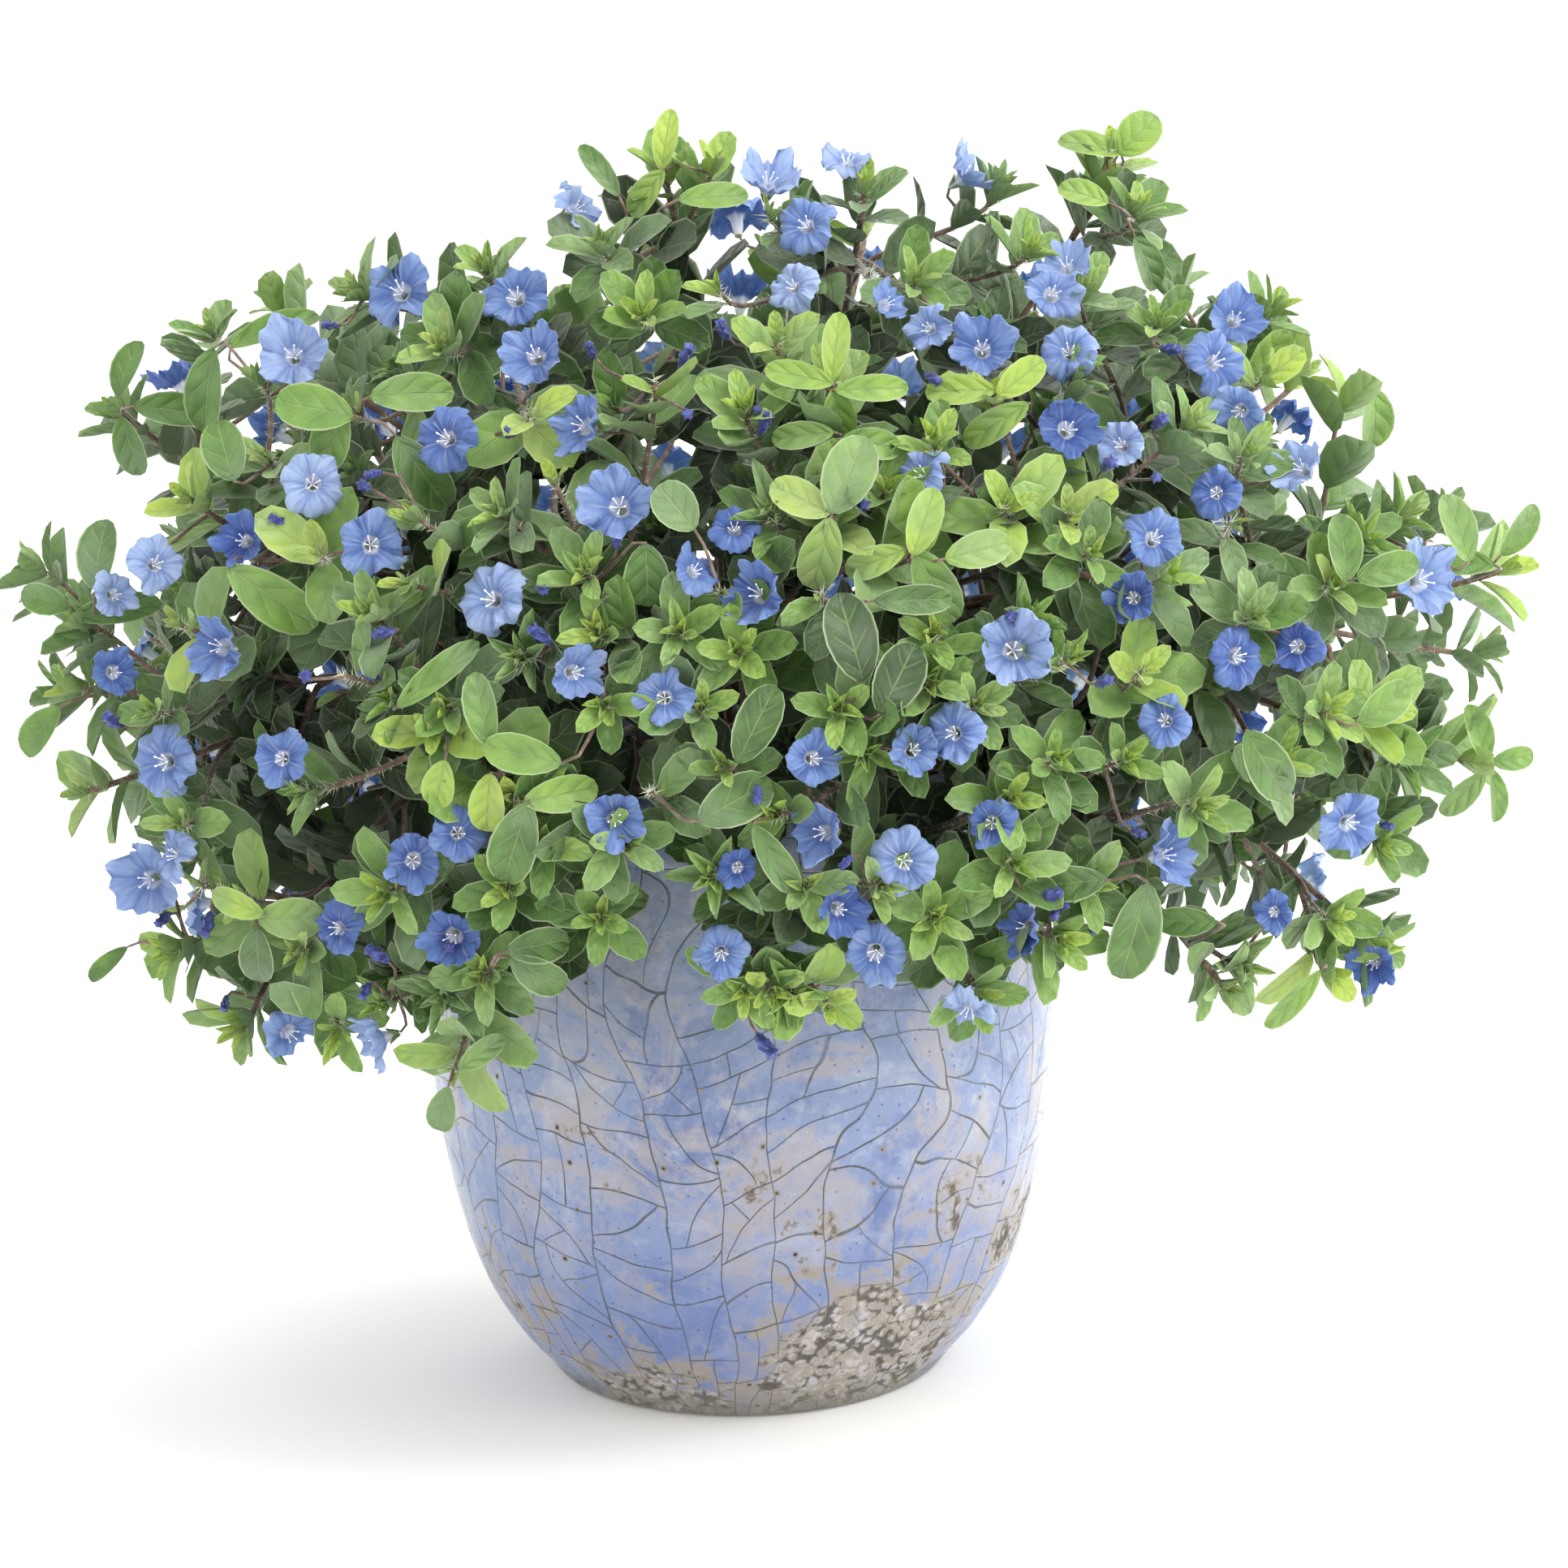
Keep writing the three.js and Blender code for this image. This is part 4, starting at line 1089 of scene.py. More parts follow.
SHOOT_FORMS = {
    Tip.STAR: ShootForm(
        ((0, 0), (6, 2), (10, 5), (13, 12), (15, 22), (17, 34), (29, 138), (44, 300)),
        ((0, 5), (4, 9), (8, 14), (11, 17), (17, 20), (28, 22)),
        ((0, 7), (4, 30), (8, 54), (11, 72), (17, 70)),
        ((0, .24), (5, .34), (8, .42), (12, .5), (20, .56)),
        ((0, 1.0), (3, .94), (6, .78), (9, .6), (13, .42), (22, .22))),
    Tip.LEAFY: ShootForm(
        ((0, 0), (2, 1.5), (4, 5), (6, 10), (8, 18), (12, 44), (24, 150), (40, 300)),
        ((0, 6), (2, 9), (4, 16), (6, 21), (10, 23), (20, 24)),
        ((0, 10), (2, 30), (4, 56), (6, 70), (12, 68)),
        ((0, .35), (3, .46), (6, .54), (12, .56)),
        ((0, 1.0), (3, .92), (6, .76), (10, .5), (14, .34), (22, .2))),
    Tip.WOOLLY: ShootForm(
        ((0, 0), (6, 2.5), (11, 7), (14, 18), (17, 36), (28, 140), (44, 300)),
        ((0, 6), (4, 9), (8, 13), (12, 17), (20, 20)),
        ((0, 8), (4, 28), (8, 48), (12, 66), (18, 70)),
        ((0, .18), (6, .24), (12, .36), (18, .5)),
        ((0, .88), (5, .78), (9, .62), (13, .42), (20, .2))),
}


@dataclass
class Shoot:
    """A stem with leaves: its curve, the main branch that it belongs to, how it ends and its radius."""

    curve: StemCurve
    owner: int
    tip: Tip
    radius: float
    leafed_from: float
    inner: bool = False


@dataclass(frozen=True)
class Leaf:
    """One leaf to be copied: its foot, direction, upper side, sizes in mm and tone."""

    foot: np.ndarray
    way: np.ndarray
    face: np.ndarray
    length: float
    ratio: float
    tone: float
    curl: float
    large: bool = False
    inner: bool = False

    @property
    def samples(self) -> np.ndarray:
        """Three points along the blade."""
        return np.array([self.foot + self.way * self.length * share for share in (0.25, 0.55, 0.9)])


@dataclass(frozen=True)
class LeafBlade:
    """The pattern of a leaf: a thin closed blade one unit long from its foot along +Y, facing +Z."""

    rows: int
    columns: int
    heel: float = 0.62
    point: float = 0.47
    cup: float = 0.06
    fold: float = 0.05
    droop: float = 0.1
    thickness: float = 0.02
    ratio: float = 0.5

    def outline(self, share: float) -> float:
        """Half of the blade's width at a share of its length, where its widest place is 1.

        Args:
            share: of the length, from the foot.

        Returns:
            The half width.
        """
        peak = self.heel / (self.heel + self.point)
        top = peak ** self.heel * (1 - peak) ** self.point
        return share ** self.heel * (1 - share) ** self.point / top

    def model(self, name: str) -> bpy.types.Mesh:
        """Model the blade.

        Args:
            name: the pattern's name.

        Returns:
            Its mesh.
        """
        deselect()
        bpy.ops.mesh.primitive_grid_add(x_subdivisions=self.columns, y_subdivisions=self.rows, size=1)
        blade = bpy.context.object
        blade.name = name
        edit()
        thick = self.thickness / self.ratio
        bpy.ops.mesh.extrude_region_move(TRANSFORM_OT_translate={"value": (0, 0, -thick)})
        pick(lambda at: at.z < -thick / 2 and max(abs(at.x), abs(at.y)) > 0.49)
        bpy.ops.transform.translate(value=(0, 0, thick))
        close_seams(1e-4)
        bpy.ops.object.mode_set(mode="OBJECT")
        number_layer(blade.data, "underside", [face.normal.z < 0 for face in blade.data.polygons], "FACE")
        edit()
        for column in range(self.columns + 1):
            x = column / self.columns - 0.5
            pick(lambda at: abs(at.x - x) < 0.01)
            rise = self.cup * (2 * x) ** 2 + self.fold * abs(2 * x)
            bpy.ops.transform.translate(value=(0, 0, rise / self.ratio))
        aside = 5.0
        for row in range(self.rows + 1):
            y = row / self.rows - 0.5
            share = (1 - math.cos(math.pi * row / self.rows)) / 2
            size = max(self.outline(share), 1e-4) * self.ratio
            pick(lambda at: abs(at.y - y) < 0.01 and at.z < aside / 2)
            bpy.ops.transform.resize(value=(size, 1, size), center_override=(0, y, 0))
            drop = self.droop * (0.6 * share - 1.2 * share ** 2)
            bpy.ops.transform.translate(value=(0, share - y, drop + aside))
        bpy.ops.mesh.select_all(action="SELECT")
        bpy.ops.transform.translate(value=(0, 0, -aside))
        close_seams(1e-3)
        bpy.ops.object.mode_set(mode="OBJECT")
        bpy.ops.object.shade_smooth_by_angle(angle=math.radians(70))
        return take_mesh(blade)


@dataclass(frozen=True)
class BloomShape:
    """The pattern of an open flower: a thin funnel of five joined petals, in mm, with the middle of its
    face at the origin and facing +Z."""

    rings: tuple[tuple[float, float], ...]
    notch: float = 0.88
    ruffle: float = 1.2
    pleat: float = 0.6
    wild: float = 3.2
    crumple: float = 2.4
    petals: int = 5
    per_petal: int = 8
    thickness: float = 0.22

    def model(self, name: str, seed: int) -> bpy.types.Mesh:
        """Model the funnel from its throat out to its notched and ruffled edge.

        Args:
            name: the pattern's name.
            seed: which of the crumple's shapes it gets.

        Returns:
            Its mesh.
        """
        deselect()
        sides = self.petals * self.per_petal
        (radius, height), *others = self.rings
        bpy.ops.mesh.primitive_circle_add(vertices=sides, radius=radius * MM, fill_type="NOTHING",
                                          location=metres(0, 0, height))
        bloom = bpy.context.object
        bpy.ops.object.transform_apply(location=True, rotation=False, scale=False)
        edit()
        grow_rings((radius, height), others)
        step = 2 * math.pi / self.petals

        def fold(at: Vector) -> float:
            """0 on the middle line of a petal and 1 on the seam to the next."""
            turn = (math.atan2(at.y, at.x) / step) % 1
            return abs(2 * turn - 1)

        outer = self.rings[-1][0] * MM
        rim = self.rings[-2][0] * MM
        for places, share in (((1.0,), self.notch * 0.97), ((0.0,), self.notch), ((0.25, 0.75), 0.975)):
            pick(lambda at: at.xy.length > outer * 0.98 and any(abs(fold(at) - p) < 0.02 for p in places))
            bpy.ops.transform.resize(value=(share, share, 1), center_override=(0, 0, 0))
        for places, rise in (((1.0,), -1.0), ((0.0,), -0.8), ((0.5,), 0.9)):
            pick(lambda at: at.xy.length > rim * 0.85 and any(abs(fold(at) - p) < 0.02 for p in places))
            bpy.ops.transform.translate(value=metres(0, 0, rise * self.ruffle))
        self.make_wild(random.Random(seed), outer)
        pick(lambda at: at.z < (self.rings[0][1] + 0.1) * MM)
        bpy.ops.mesh.edge_face_add()
        bpy.ops.object.mode_set(mode="OBJECT")
        points = points_of(bloom.data)
        number_layer(bloom.data, "reach", np.hypot(points[:, 0], points[:, 1]) / outer)
        number_layer(bloom.data, "fold", [fold(v.co) for v in bloom.data.vertices])
        crumple = roughen(bloom, "crumple", 6 * MM, self.crumple * MM)
        crumple.texture_coords = "OBJECT"
        anchor = bpy.data.objects.new(name, None)
        anchor.location = metres(31 * seed, 17 * seed, 0)
        crumple.texture_coords_object = anchor
        wall = bloom.modifiers.new("wall", "SOLIDIFY")
        wall.thickness = self.thickness * MM
        wall.offset = 0
        apply_modifiers(bloom)
        edit()
        close_seams(1e-6)
        bpy.ops.object.mode_set(mode="OBJECT")
        bpy.ops.object.shade_smooth_by_angle(angle=math.radians(60))
        bpy.data.objects.remove(anchor)
        return take_mesh(bloom)

    def make_wild(self, rng: random.Random, outer: float) -> None:
        """Pleat the petals along their length, and let each lobe reach out and lift by its own amount.

        Args:
            rng: the pattern's own random numbers.
            outer: the edge's radius in metres.
        """
        column = 2 * math.pi / (self.petals * self.per_petal)
        pick(lambda at: at.xy.length > outer * 0.3 and round(math.atan2(at.y, at.x) / column) % 2 == 1)
        bpy.ops.transform.translate(value=metres(0, 0, -self.pleat))
        lobe = math.pi / self.petals
        for number in range(2 * self.petals):
            rise = rng.uniform(-self.wild, self.wild)
            wide = rng.uniform(0.93, 1.03)
            for start in (0.5, 0.72, 0.9):
                pick(lambda at: at.xy.length > outer * start * 0.9
                     and math.floor(math.atan2(at.y, at.x) / lobe + self.petals) == number)
                bpy.ops.transform.translate(value=metres(0, 0, rise / 3))
                bpy.ops.transform.resize(value=(wide, wide, 1), center_override=(0, 0, 0))


@dataclass(frozen=True)
class SpentShape:
    """The pattern of a spent flower: a small twisted roll along +Z, in mm."""

    rings: tuple[tuple[float, float], ...] = (
        (0.9, 0), (1.7, 1.5), (2.4, 3.5), (2.0, 5.5), (2.4, 7.5), (0.6, 8.5))
    sides: int = 10
    twist: float = 26

    def model(self) -> bpy.types.Mesh:
        """Model the roll, with its pleats turned a little further at each ring.

        Returns:
            Its mesh.
        """
        deselect()
        start, *others = self.rings
        bpy.ops.mesh.primitive_circle_add(vertices=self.sides, radius=start[0] * MM, fill_type="NGON")
        roll = bpy.context.object
        edit()
        grow_rings(start, others, self.twist)
        step = 2 * math.pi / self.sides
        for row, (_, high) in enumerate(self.rings[1:-1], start=1):
            turned = math.radians(self.twist) * row

            def on_pleat(at: Vector) -> bool:
                """Whether a vertex is at this ring's height, on every second column."""
                turn = (math.atan2(at.y, at.x) - turned) / step
                return abs(at.z - high * MM) < 0.1 * MM and round(turn) % 2 == 0

            pick(on_pleat)
            bpy.ops.transform.resize(value=(0.55, 0.55, 1), center_override=metres(0, 0, high))
        close_seams(1e-6)
        bpy.ops.object.mode_set(mode="OBJECT")
        bpy.ops.object.shade_smooth_by_angle(angle=math.radians(50))
        return take_mesh(roll)


@dataclass(frozen=True)
class StamenShape:
    """The pattern of a flower's five stamens, in mm: thin filaments that lean out, each with an anther."""

    filament: float = 5.0
    lean: float = 24
    anther: float = 0.6
    count: int = 5

    def model(self, name: str) -> bpy.types.Mesh:
        """Model one stamen, copy it round the middle and join the five.

        Args:
            name: the mesh's name.

        Returns:
            Its mesh.
        """
        deselect()
        bpy.ops.mesh.primitive_cone_add(vertices=5, radius1=0.28 * MM, radius2=0.16 * MM,
                                        depth=self.filament * MM, location=metres(0, 0, self.filament / 2))
        rod = bpy.context.object
        bpy.ops.object.transform_apply(location=True, rotation=False, scale=False)
        deselect()
        bpy.ops.mesh.primitive_ico_sphere_add(subdivisions=1, radius=self.anther * MM,
                                              location=metres(0, 0, self.filament))
        bpy.ops.transform.resize(value=(0.6, 0.6, 1.1))
        bpy.ops.object.transform_apply(location=True, rotation=False, scale=True)
        rod.select_set(True)
        bpy.context.view_layer.objects.active = rod
        bpy.ops.object.join()
        one = take_mesh(bpy.context.object)
        copies = []
        for i in range(self.count):
            turn = Matrix.Rotation(2 * math.pi * i / self.count, 4, "Z")
            lean = Matrix.Rotation(math.radians(self.lean + 5 * (i % 2)), 4, "X")
            copies.append(Copy(one, turn @ lean, {}))
        ring = join_copies(name, copies)
        bpy.ops.object.shade_smooth()
        return take_mesh(ring)


@dataclass(frozen=True)
class TuftShape:
    """The pattern of a tuft of fine hairs that stand off a stem along +Z, in mm."""

    hairs: int = 11
    length: float = 3.2
    thickness: float = 0.16

    def model(self, name: str, seed: int) -> bpy.types.Mesh:
        """Model one hair, a thin three-sided spike, and copy it round the stem at different leans.

        Args:
            name: the pattern's name.
            seed: which of the tufts.

        Returns:
            Its mesh.
        """
        deselect()
        bpy.ops.mesh.primitive_cone_add(vertices=3, radius1=self.thickness * MM, radius2=0,
                                        depth=self.length * MM, location=metres(0, 0, self.length / 2))
        bpy.ops.object.transform_apply(location=True, rotation=False, scale=False)
        hair = take_mesh(bpy.context.object)
        rng = random.Random(seed)
        copies = []
        for number in range(self.hairs):
            turn = Matrix.Rotation(number * GOLDEN_TURN + rng.uniform(-0.3, 0.3), 4, "Z")
            lean = Matrix.Rotation(math.radians(rng.uniform(45, 85)), 4, "X")
            along = Matrix.Translation(metres(0, 0, rng.uniform(-2, 2)))
            size = Matrix.Diagonal((1, 1, rng.uniform(0.6, 1.2), 1))
            copies.append(Copy(hair, along @ turn @ lean @ size, {}))
        return take_mesh(join_copies(name, copies))


@dataclass
class GlazedPot:
    """The pot: a thick-walled round shell, in mm, with slightly uneven walls and a rough bare patch."""

    sides: int = 96
    levels: int = 2
    # Bare patches: middle, reach and how bare, from 0 to 1
    craters: tuple[tuple[float, float, float, float, float], ...] = (
        (37, -68, 20, 46, 1.0), (-28, -62, 4, 34, 0.8), (90, -36, 48, 34, 0.6), (-84, -40, 38, 36, 0.5),
        (8, -97, 86, 20, 0.45), (22, -94, 66, 26, 0.5), (-44, -82, 100, 22, 0.4), (66, -70, 72, 34, 0.5),
        (-60, 60, 30, 44, 0.95), (30, 88, 42, 34, 0.6), (92, 30, 100, 28, 0.45), (-96, 20, 120, 30, 0.4))

    def rings(self) -> list[tuple[float, float]]:
        """Radius and height of each ring, from the middle of the underside round to the inside floor."""
        under = [(4, 0), (34, 0), (57, 0), (61.6, 0)]
        outside = [(63.2, 1.2), *POT_OUTSIDE[1:]]
        inside = [(radius - POT_WALL, height) for radius, height in reversed(POT_OUTSIDE)
                  if height > POT_FLOOR]
        inside[0] = (inside[0][0], 196)
        floor = [(60, POT_FLOOR), (30, POT_FLOOR), (4, POT_FLOOR)]
        return [*under, *outside, *POT_RIM, *inside, *floor]

    def build(self) -> bpy.types.Object:
        """Model, weather and glaze the pot.

        Returns:
            The pot, which stands for its CAD node.
        """
        deselect()
        rings = self.rings()
        bpy.ops.mesh.primitive_circle_add(vertices=self.sides, radius=rings[0][0] * MM, fill_type="NOTHING")
        pot = bpy.context.object
        pot.name = "glazed_pot"
        edit()
        grow_rings(rings[0], rings[1:])
        bpy.ops.mesh.edge_face_add()
        pick(lambda at: at.xy.length < 5 * MM and at.z < 1 * MM)
        bpy.ops.mesh.edge_face_add()
        close_seams(1e-6)
        bpy.ops.object.mode_set(mode="OBJECT")
        smooth = pot.modifiers.new("round", "SUBSURF")
        smooth.levels = smooth.render_levels = self.levels
        apply_modifiers(pot)
        self.weather(pot)
        bpy.ops.object.shade_smooth()
        pot.data.materials.append(CrackleGlaze().material())
        hand_over(pot, "glaze", "pot")
        return pot

    def weather(self, pot: bpy.types.Object) -> None:
        """Make the wall slightly uneven and the bare patches pitted.

        Args:
            pot: the smooth pot, which is the active object.
        """
        points = points_of(pot.data) / MM
        outside = np.hypot(points[:, 0], points[:, 1]) > np.interp(
            points[:, 2], [z for _, z in POT_OUTSIDE], [r for r, _ in POT_OUTSIDE]) - 4
        patch = np.zeros(len(points))
        for x, y, z, reach, strength in self.craters:
            gap = np.linalg.norm((points - np.array([x, y, z])) * np.array([1, 1, 1.2]), axis=1)
            patch = np.maximum(patch, strength * np.clip(1.3 - gap / reach, 0, 1))
        patch = patch * outside
        number_layer(pot.data, "crater", patch)
        uneven = pot.vertex_groups.new(name="uneven")
        pitted = pot.vertex_groups.new(name="pitted")
        for i in np.flatnonzero(outside & (points[:, 2] > 2)):
            uneven.add([int(i)], 1.0, "REPLACE")
            if patch[i] > 0.35:
                pitted.add([int(i)], float(min(1, (patch[i] - 0.35) * 2)), "REPLACE")
        for name, kind, group, grain, strength, middle in (
                ("wall", "CLOUDS", "uneven", 38, 1.3, 0.5), ("hammer", "CLOUDS", "uneven", 8, 0.5, 0.5),
                ("pebbles", "VORONOI", "pitted", 4.6, -2.2, 0.35)):
            roughen(pot, name, grain * MM, strength * MM, group, kind, middle)
        apply_modifiers(pot)


@dataclass
class PottingSoil:
    """The soil inside the pot and the woody crown on it, in mm."""

    grains: int = 220
    seed: int = 5

    def build(self) -> None:
        """Model the soil with its crumbs, the crown, and dress the root ball."""
        self.build_bed()
        self.build_crown()
        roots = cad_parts["root_ball"]
        roots.data.materials.clear()
        roots.data.materials.append(ROOTS.material())

    def build_bed(self) -> None:
        """A closed plug of soil with a lumpy top, and loose crumbs on it."""
        low = 157
        outside = [(height, radius) for radius, height in POT_OUTSIDE]
        wall = [(between(outside, height) - POT_WALL - 0.6, height) for height in (low, 172, SOIL_TOP)]
        deselect()
        bpy.ops.mesh.primitive_circle_add(vertices=72, radius=wall[0][0] * MM, fill_type="NGON",
                                          location=metres(0, 0, low))
        bed = bpy.context.object
        bed.name = "soil_bed"
        bpy.ops.object.transform_apply(location=True, rotation=False, scale=False)
        edit()
        tops = [(radius, SOIL_TOP + 1) for radius in (78, 66, 54, 42, 32, 24, 14, 5)]
        grow_rings(wall[0], [*wall[1:], *tops])
        close_seams(1e-6)
        bpy.ops.object.mode_set(mode="OBJECT")
        smooth = bed.modifiers.new("round", "SUBSURF")
        smooth.levels = smooth.render_levels = 1
        apply_modifiers(bed)
        points = points_of(bed.data)
        top = bed.vertex_groups.new(name="top")
        loose = np.flatnonzero((points[:, 2] > (SOIL_TOP - 1) * MM)
                               & (np.hypot(points[:, 0], points[:, 1]) < 86 * MM))
        top.add([int(i) for i in loose], 1.0, "REPLACE")
        roughen(bed, "lumps", 9 * MM, 5 * MM, "top").direction = "Z"
        apply_modifiers(bed)
        bpy.ops.object.shade_smooth()
        bed.data.materials.append(SOIL.material())
        hand_over(bed, "soil", "potting_soil")
        self.build_crumbs()

    def build_crumbs(self) -> None:
        """Scatter bark crumbs over the soil."""
        rng = random.Random(self.seed)
        deselect()
        bpy.ops.mesh.primitive_ico_sphere_add(subdivisions=2, radius=1)
        crumb = bpy.context.object
        roughen(crumb, "crumb", 0.7, 0.9)
        apply_modifiers(crumb)
        pattern = take_mesh(crumb)
        copies = []
        for _ in range(self.grains):
            turn, out = rng.uniform(0, 2 * math.pi), 82 * math.sqrt(rng.uniform(0.08, 1))
            size = rng.uniform(1.0, 3.2)
            spin = Matrix.Rotation(rng.uniform(0, 2 * math.pi), 4, "Z")
            place = Matrix.Translation(metres(out * math.cos(turn), out * math.sin(turn), SOIL_TOP + 1.6))
            flat = Matrix.Diagonal((size * MM * rng.uniform(1, 1.8), size * MM, size * MM * 0.55, 1))
            copies.append(Copy(pattern, place @ spin @ flat, {}))
        crumbs = join_copies("bark_crumbs", copies)
        crumbs.data.materials.append(BARK.material())
        hand_over(crumbs, "soil")

    def build_crown(self) -> None:
        """The woody crown: a knobbly dome that sits on the soil."""
        deselect()
        base = SOIL_TOP + SEAT_GAP
        bpy.ops.mesh.primitive_uv_sphere_add(segments=48, ring_count=32, radius=CROWN_RADIUS * MM,
                                             location=metres(0, 0, base))
        crown = bpy.context.object
        crown.name = "woody_crown_knots"
        bpy.ops.object.transform_apply(location=True, rotation=False, scale=False)
        edit()
        bpy.ops.mesh.bisect(plane_co=metres(0, 0, base), plane_no=(0, 0, -1), clear_outer=True, use_fill=True)
        bpy.ops.object.mode_set(mode="OBJECT")
        above = crown.vertex_groups.new(name="above")
        above.add([v.index for v in crown.data.vertices if v.co.z > (base + 1) * MM], 1.0, "REPLACE")
        roughen(crown, "knots", 10 * MM, 5 * MM, "above")
        apply_modifiers(crown)
        bpy.ops.object.shade_smooth()
        crown.data.materials.append(BARK.material())
        hand_over(crown, "bark", "woody_crown")


@dataclass(frozen=True)
class Bloom:
    """An open flower: the middle of its face, which way it faces, its width in mm, its tone from deep to
    pale, the branch that carries it and its turn about its own axis."""

    middle: np.ndarray
    facing: np.ndarray
    width: float
    tone: float
    owner: int
    spin: float


@dataclass
class Plant:
    """All that grows: the stems, leaves, flowers, spent flowers and hairs, in mm."""

    eye: Eye
    foliage: Foliage
    seed: int = 11
    branches: list[StemCurve] = field(default_factory=list)
    shoots: list[Shoot] = field(default_factory=list)
    stalks: list[tuple[StemCurve, int]] = field(default_factory=list)
    blooms: list[Bloom] = field(default_factory=list)
    spent: list[tuple[np.ndarray, np.ndarray, float]] = field(default_factory=list)
    leaves: dict[int, list[Leaf]] = field(default_factory=dict)
    crowd: dict[int, int] = field(default_factory=dict)
    cad: dict[int, np.ndarray] = field(default_factory=dict)
    rng: random.Random = field(default_factory=random.Random)
    # How many leaves a shoot has at most, and how much painted shade darkens them towards the mound's axis
    inner_leaves: int = 22
    outer_leaves: int = 44
    front_painted_shade: float = 0.6
    back_painted_shade: float = 0.15
    # Where the filling grows: heights, the height that it closes on, how far back it starts, and the
    # reach and height of the room over the pot that it keeps out of
    filled_heights: tuple[float, float] = (112, 392)
    heart_height: float = 215
    behind: float = 12
    over_pot: tuple[float, float] = (112, 214)

    def grow(self) -> None:
        """Work out every stem, flower and leaf before anything is modelled."""
        self.rng.seed(self.seed)
        self.cad = {i: points_of(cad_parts[f"branch_{i + 1:02d}"].data) / MM
                    for i in range(len(LEADER_TIPS) + len(BACK_LEADER_TIPS))}
        self.grow_branches()
        self.grow_side_shoots()
        self.grow_filling()
        self.set_blooms()
        self.set_spent()
        for shoot in self.shoots:
            self.leaves.setdefault(shoot.owner, []).extend(self.leaves_of(shoot))
        self.set_large_leaves()
        self.clear_view()
        log.info("%d shoots, %d flowers, %d leaves", len(self.shoots), len(self.blooms),
                 sum(map(len, self.leaves.values())))

    def form_of(self, place: tuple[float, float]) -> Tip:
        """How the shoot with a listed tip ends.

        Args:
            place: the tip as it is listed.

        Returns:
            Its kind.
        """
        if place in LEAFY_TIPS:
            return Tip.LEAFY
        return Tip.WOOLLY if place in WOOLLY_TIPS else Tip.STAR

    def any_form(self) -> Tip:
        """How a shoot that no list names ends."""
        return self.rng.choices((Tip.STAR, Tip.LEAFY, Tip.WOOLLY), (5, 3, 2))[0]

    def branch_curve(self, tip: np.ndarray, sway: float) -> StemCurve:
        """The curve of a main branch from the crown to its tip, as in the part's source.

        Args:
            tip: where the branch ends.
            sway: how far it bows to the side.

        Returns:
            The curve.
        """
        flat = np.array([tip[0], tip[1], 0.0])
        outward = unit(flat)
        sideways = np.array([-outward[1], outward[0], 0.0])
        root = np.array([0, 0, SOIL_TOP + SEAT_GAP])
        rise = math.degrees(math.atan2(tip[2] - root[2], float(np.linalg.norm(flat))))
        lean = math.radians(between(ROOT_LIFT, rise))
        start = unit(outward * math.cos(lean) + UP * math.sin(lean) + sideways * sway / 200)
        lift = math.radians(between(TIP_LIFT, tip[2]))
        end = outward * math.cos(lift) + UP * math.sin(lift)
        foot = root + start * (CROWN_RADIUS + SEAT_GAP)
        length = float(np.linalg.norm(tip - foot))
        return StemCurve(foot, foot + start * length * 0.42, tip - end * length * 0.38 + sideways * sway, tip)

    def grow_branches(self) -> None:
        """Fan the main branches out of the crown, swayed clear of each other as in the part's source."""
        tips = [(self.foliage.on_front(*tip), self.form_of(tip)) for tip in LEADER_TIPS]
        tips += [(self.foliage.round_about(*tip), self.any_form()) for tip in BACK_LEADER_TIPS]
        earlier: list[np.ndarray] = []
        for owner, (tip, form) in enumerate(tips):
            best = None
            for sway in SWAYS:
                curve = self.branch_curve(tip, sway)
                points = curve.spaced(32)
                room = min((float(np.linalg.norm(points[:, None] - other[None], axis=2).min())
                            for other in earlier), default=math.inf)
                if best is None or room > best[0]:
                    best = (room, curve, points)
                if room >= 4:
                    best = (room, curve, points)
                    break
            earlier.append(best[2])
            self.branches.append(best[1])
            self.shoots.append(Shoot(best[1], owner, form, 1.3, 0.26))

    def fork(self, tip: np.ndarray, owners: Iterable[int], shares: Iterable[float]) -> tuple[int, float]:
        """The branch and the share of its length from which a side shoot reaches a tip soonest.

        Args:
            tip: where the side shoot ends.
            owners: the branches that may carry it.
            shares: the places on them that may.

        Returns:
            The branch's number, and the share.
        """
        best = (math.inf, 0, 0.5)
        for owner in owners:
            for share in shares:
                way = tip - self.branches[owner].at(share)
                length = float(np.linalg.norm(way))
                turn = math.acos(float(np.clip(unit(way) @ self.branches[owner].way(share), -1, 1)))
                cost = length + 40 * turn + 10 * self.crowd.get(owner, 0)
                if length > 18 and cost < best[0]:
                    best = (cost, owner, share)
        return best[1:]

    def cad_owner(self, tip: np.ndarray) -> int | None:
        """The branch whose CAD node has a side shoot that ends at a tip, if any has.

        Args:
            tip: the tip.

        Returns:
            The branch's number.
        """
        gaps = {i: float(np.linalg.norm(points - tip, axis=1).min()) for i, points in self.cad.items()}
        nearest = min(gaps, key=gaps.get)
        return nearest if gaps[nearest] < 1.3 else None

    def tip_axis(self, tip: np.ndarray) -> np.ndarray:
        """The way a rosette at a tip faces."""
        return unit(self.foliage.outward(tip) + UP * 0.35)

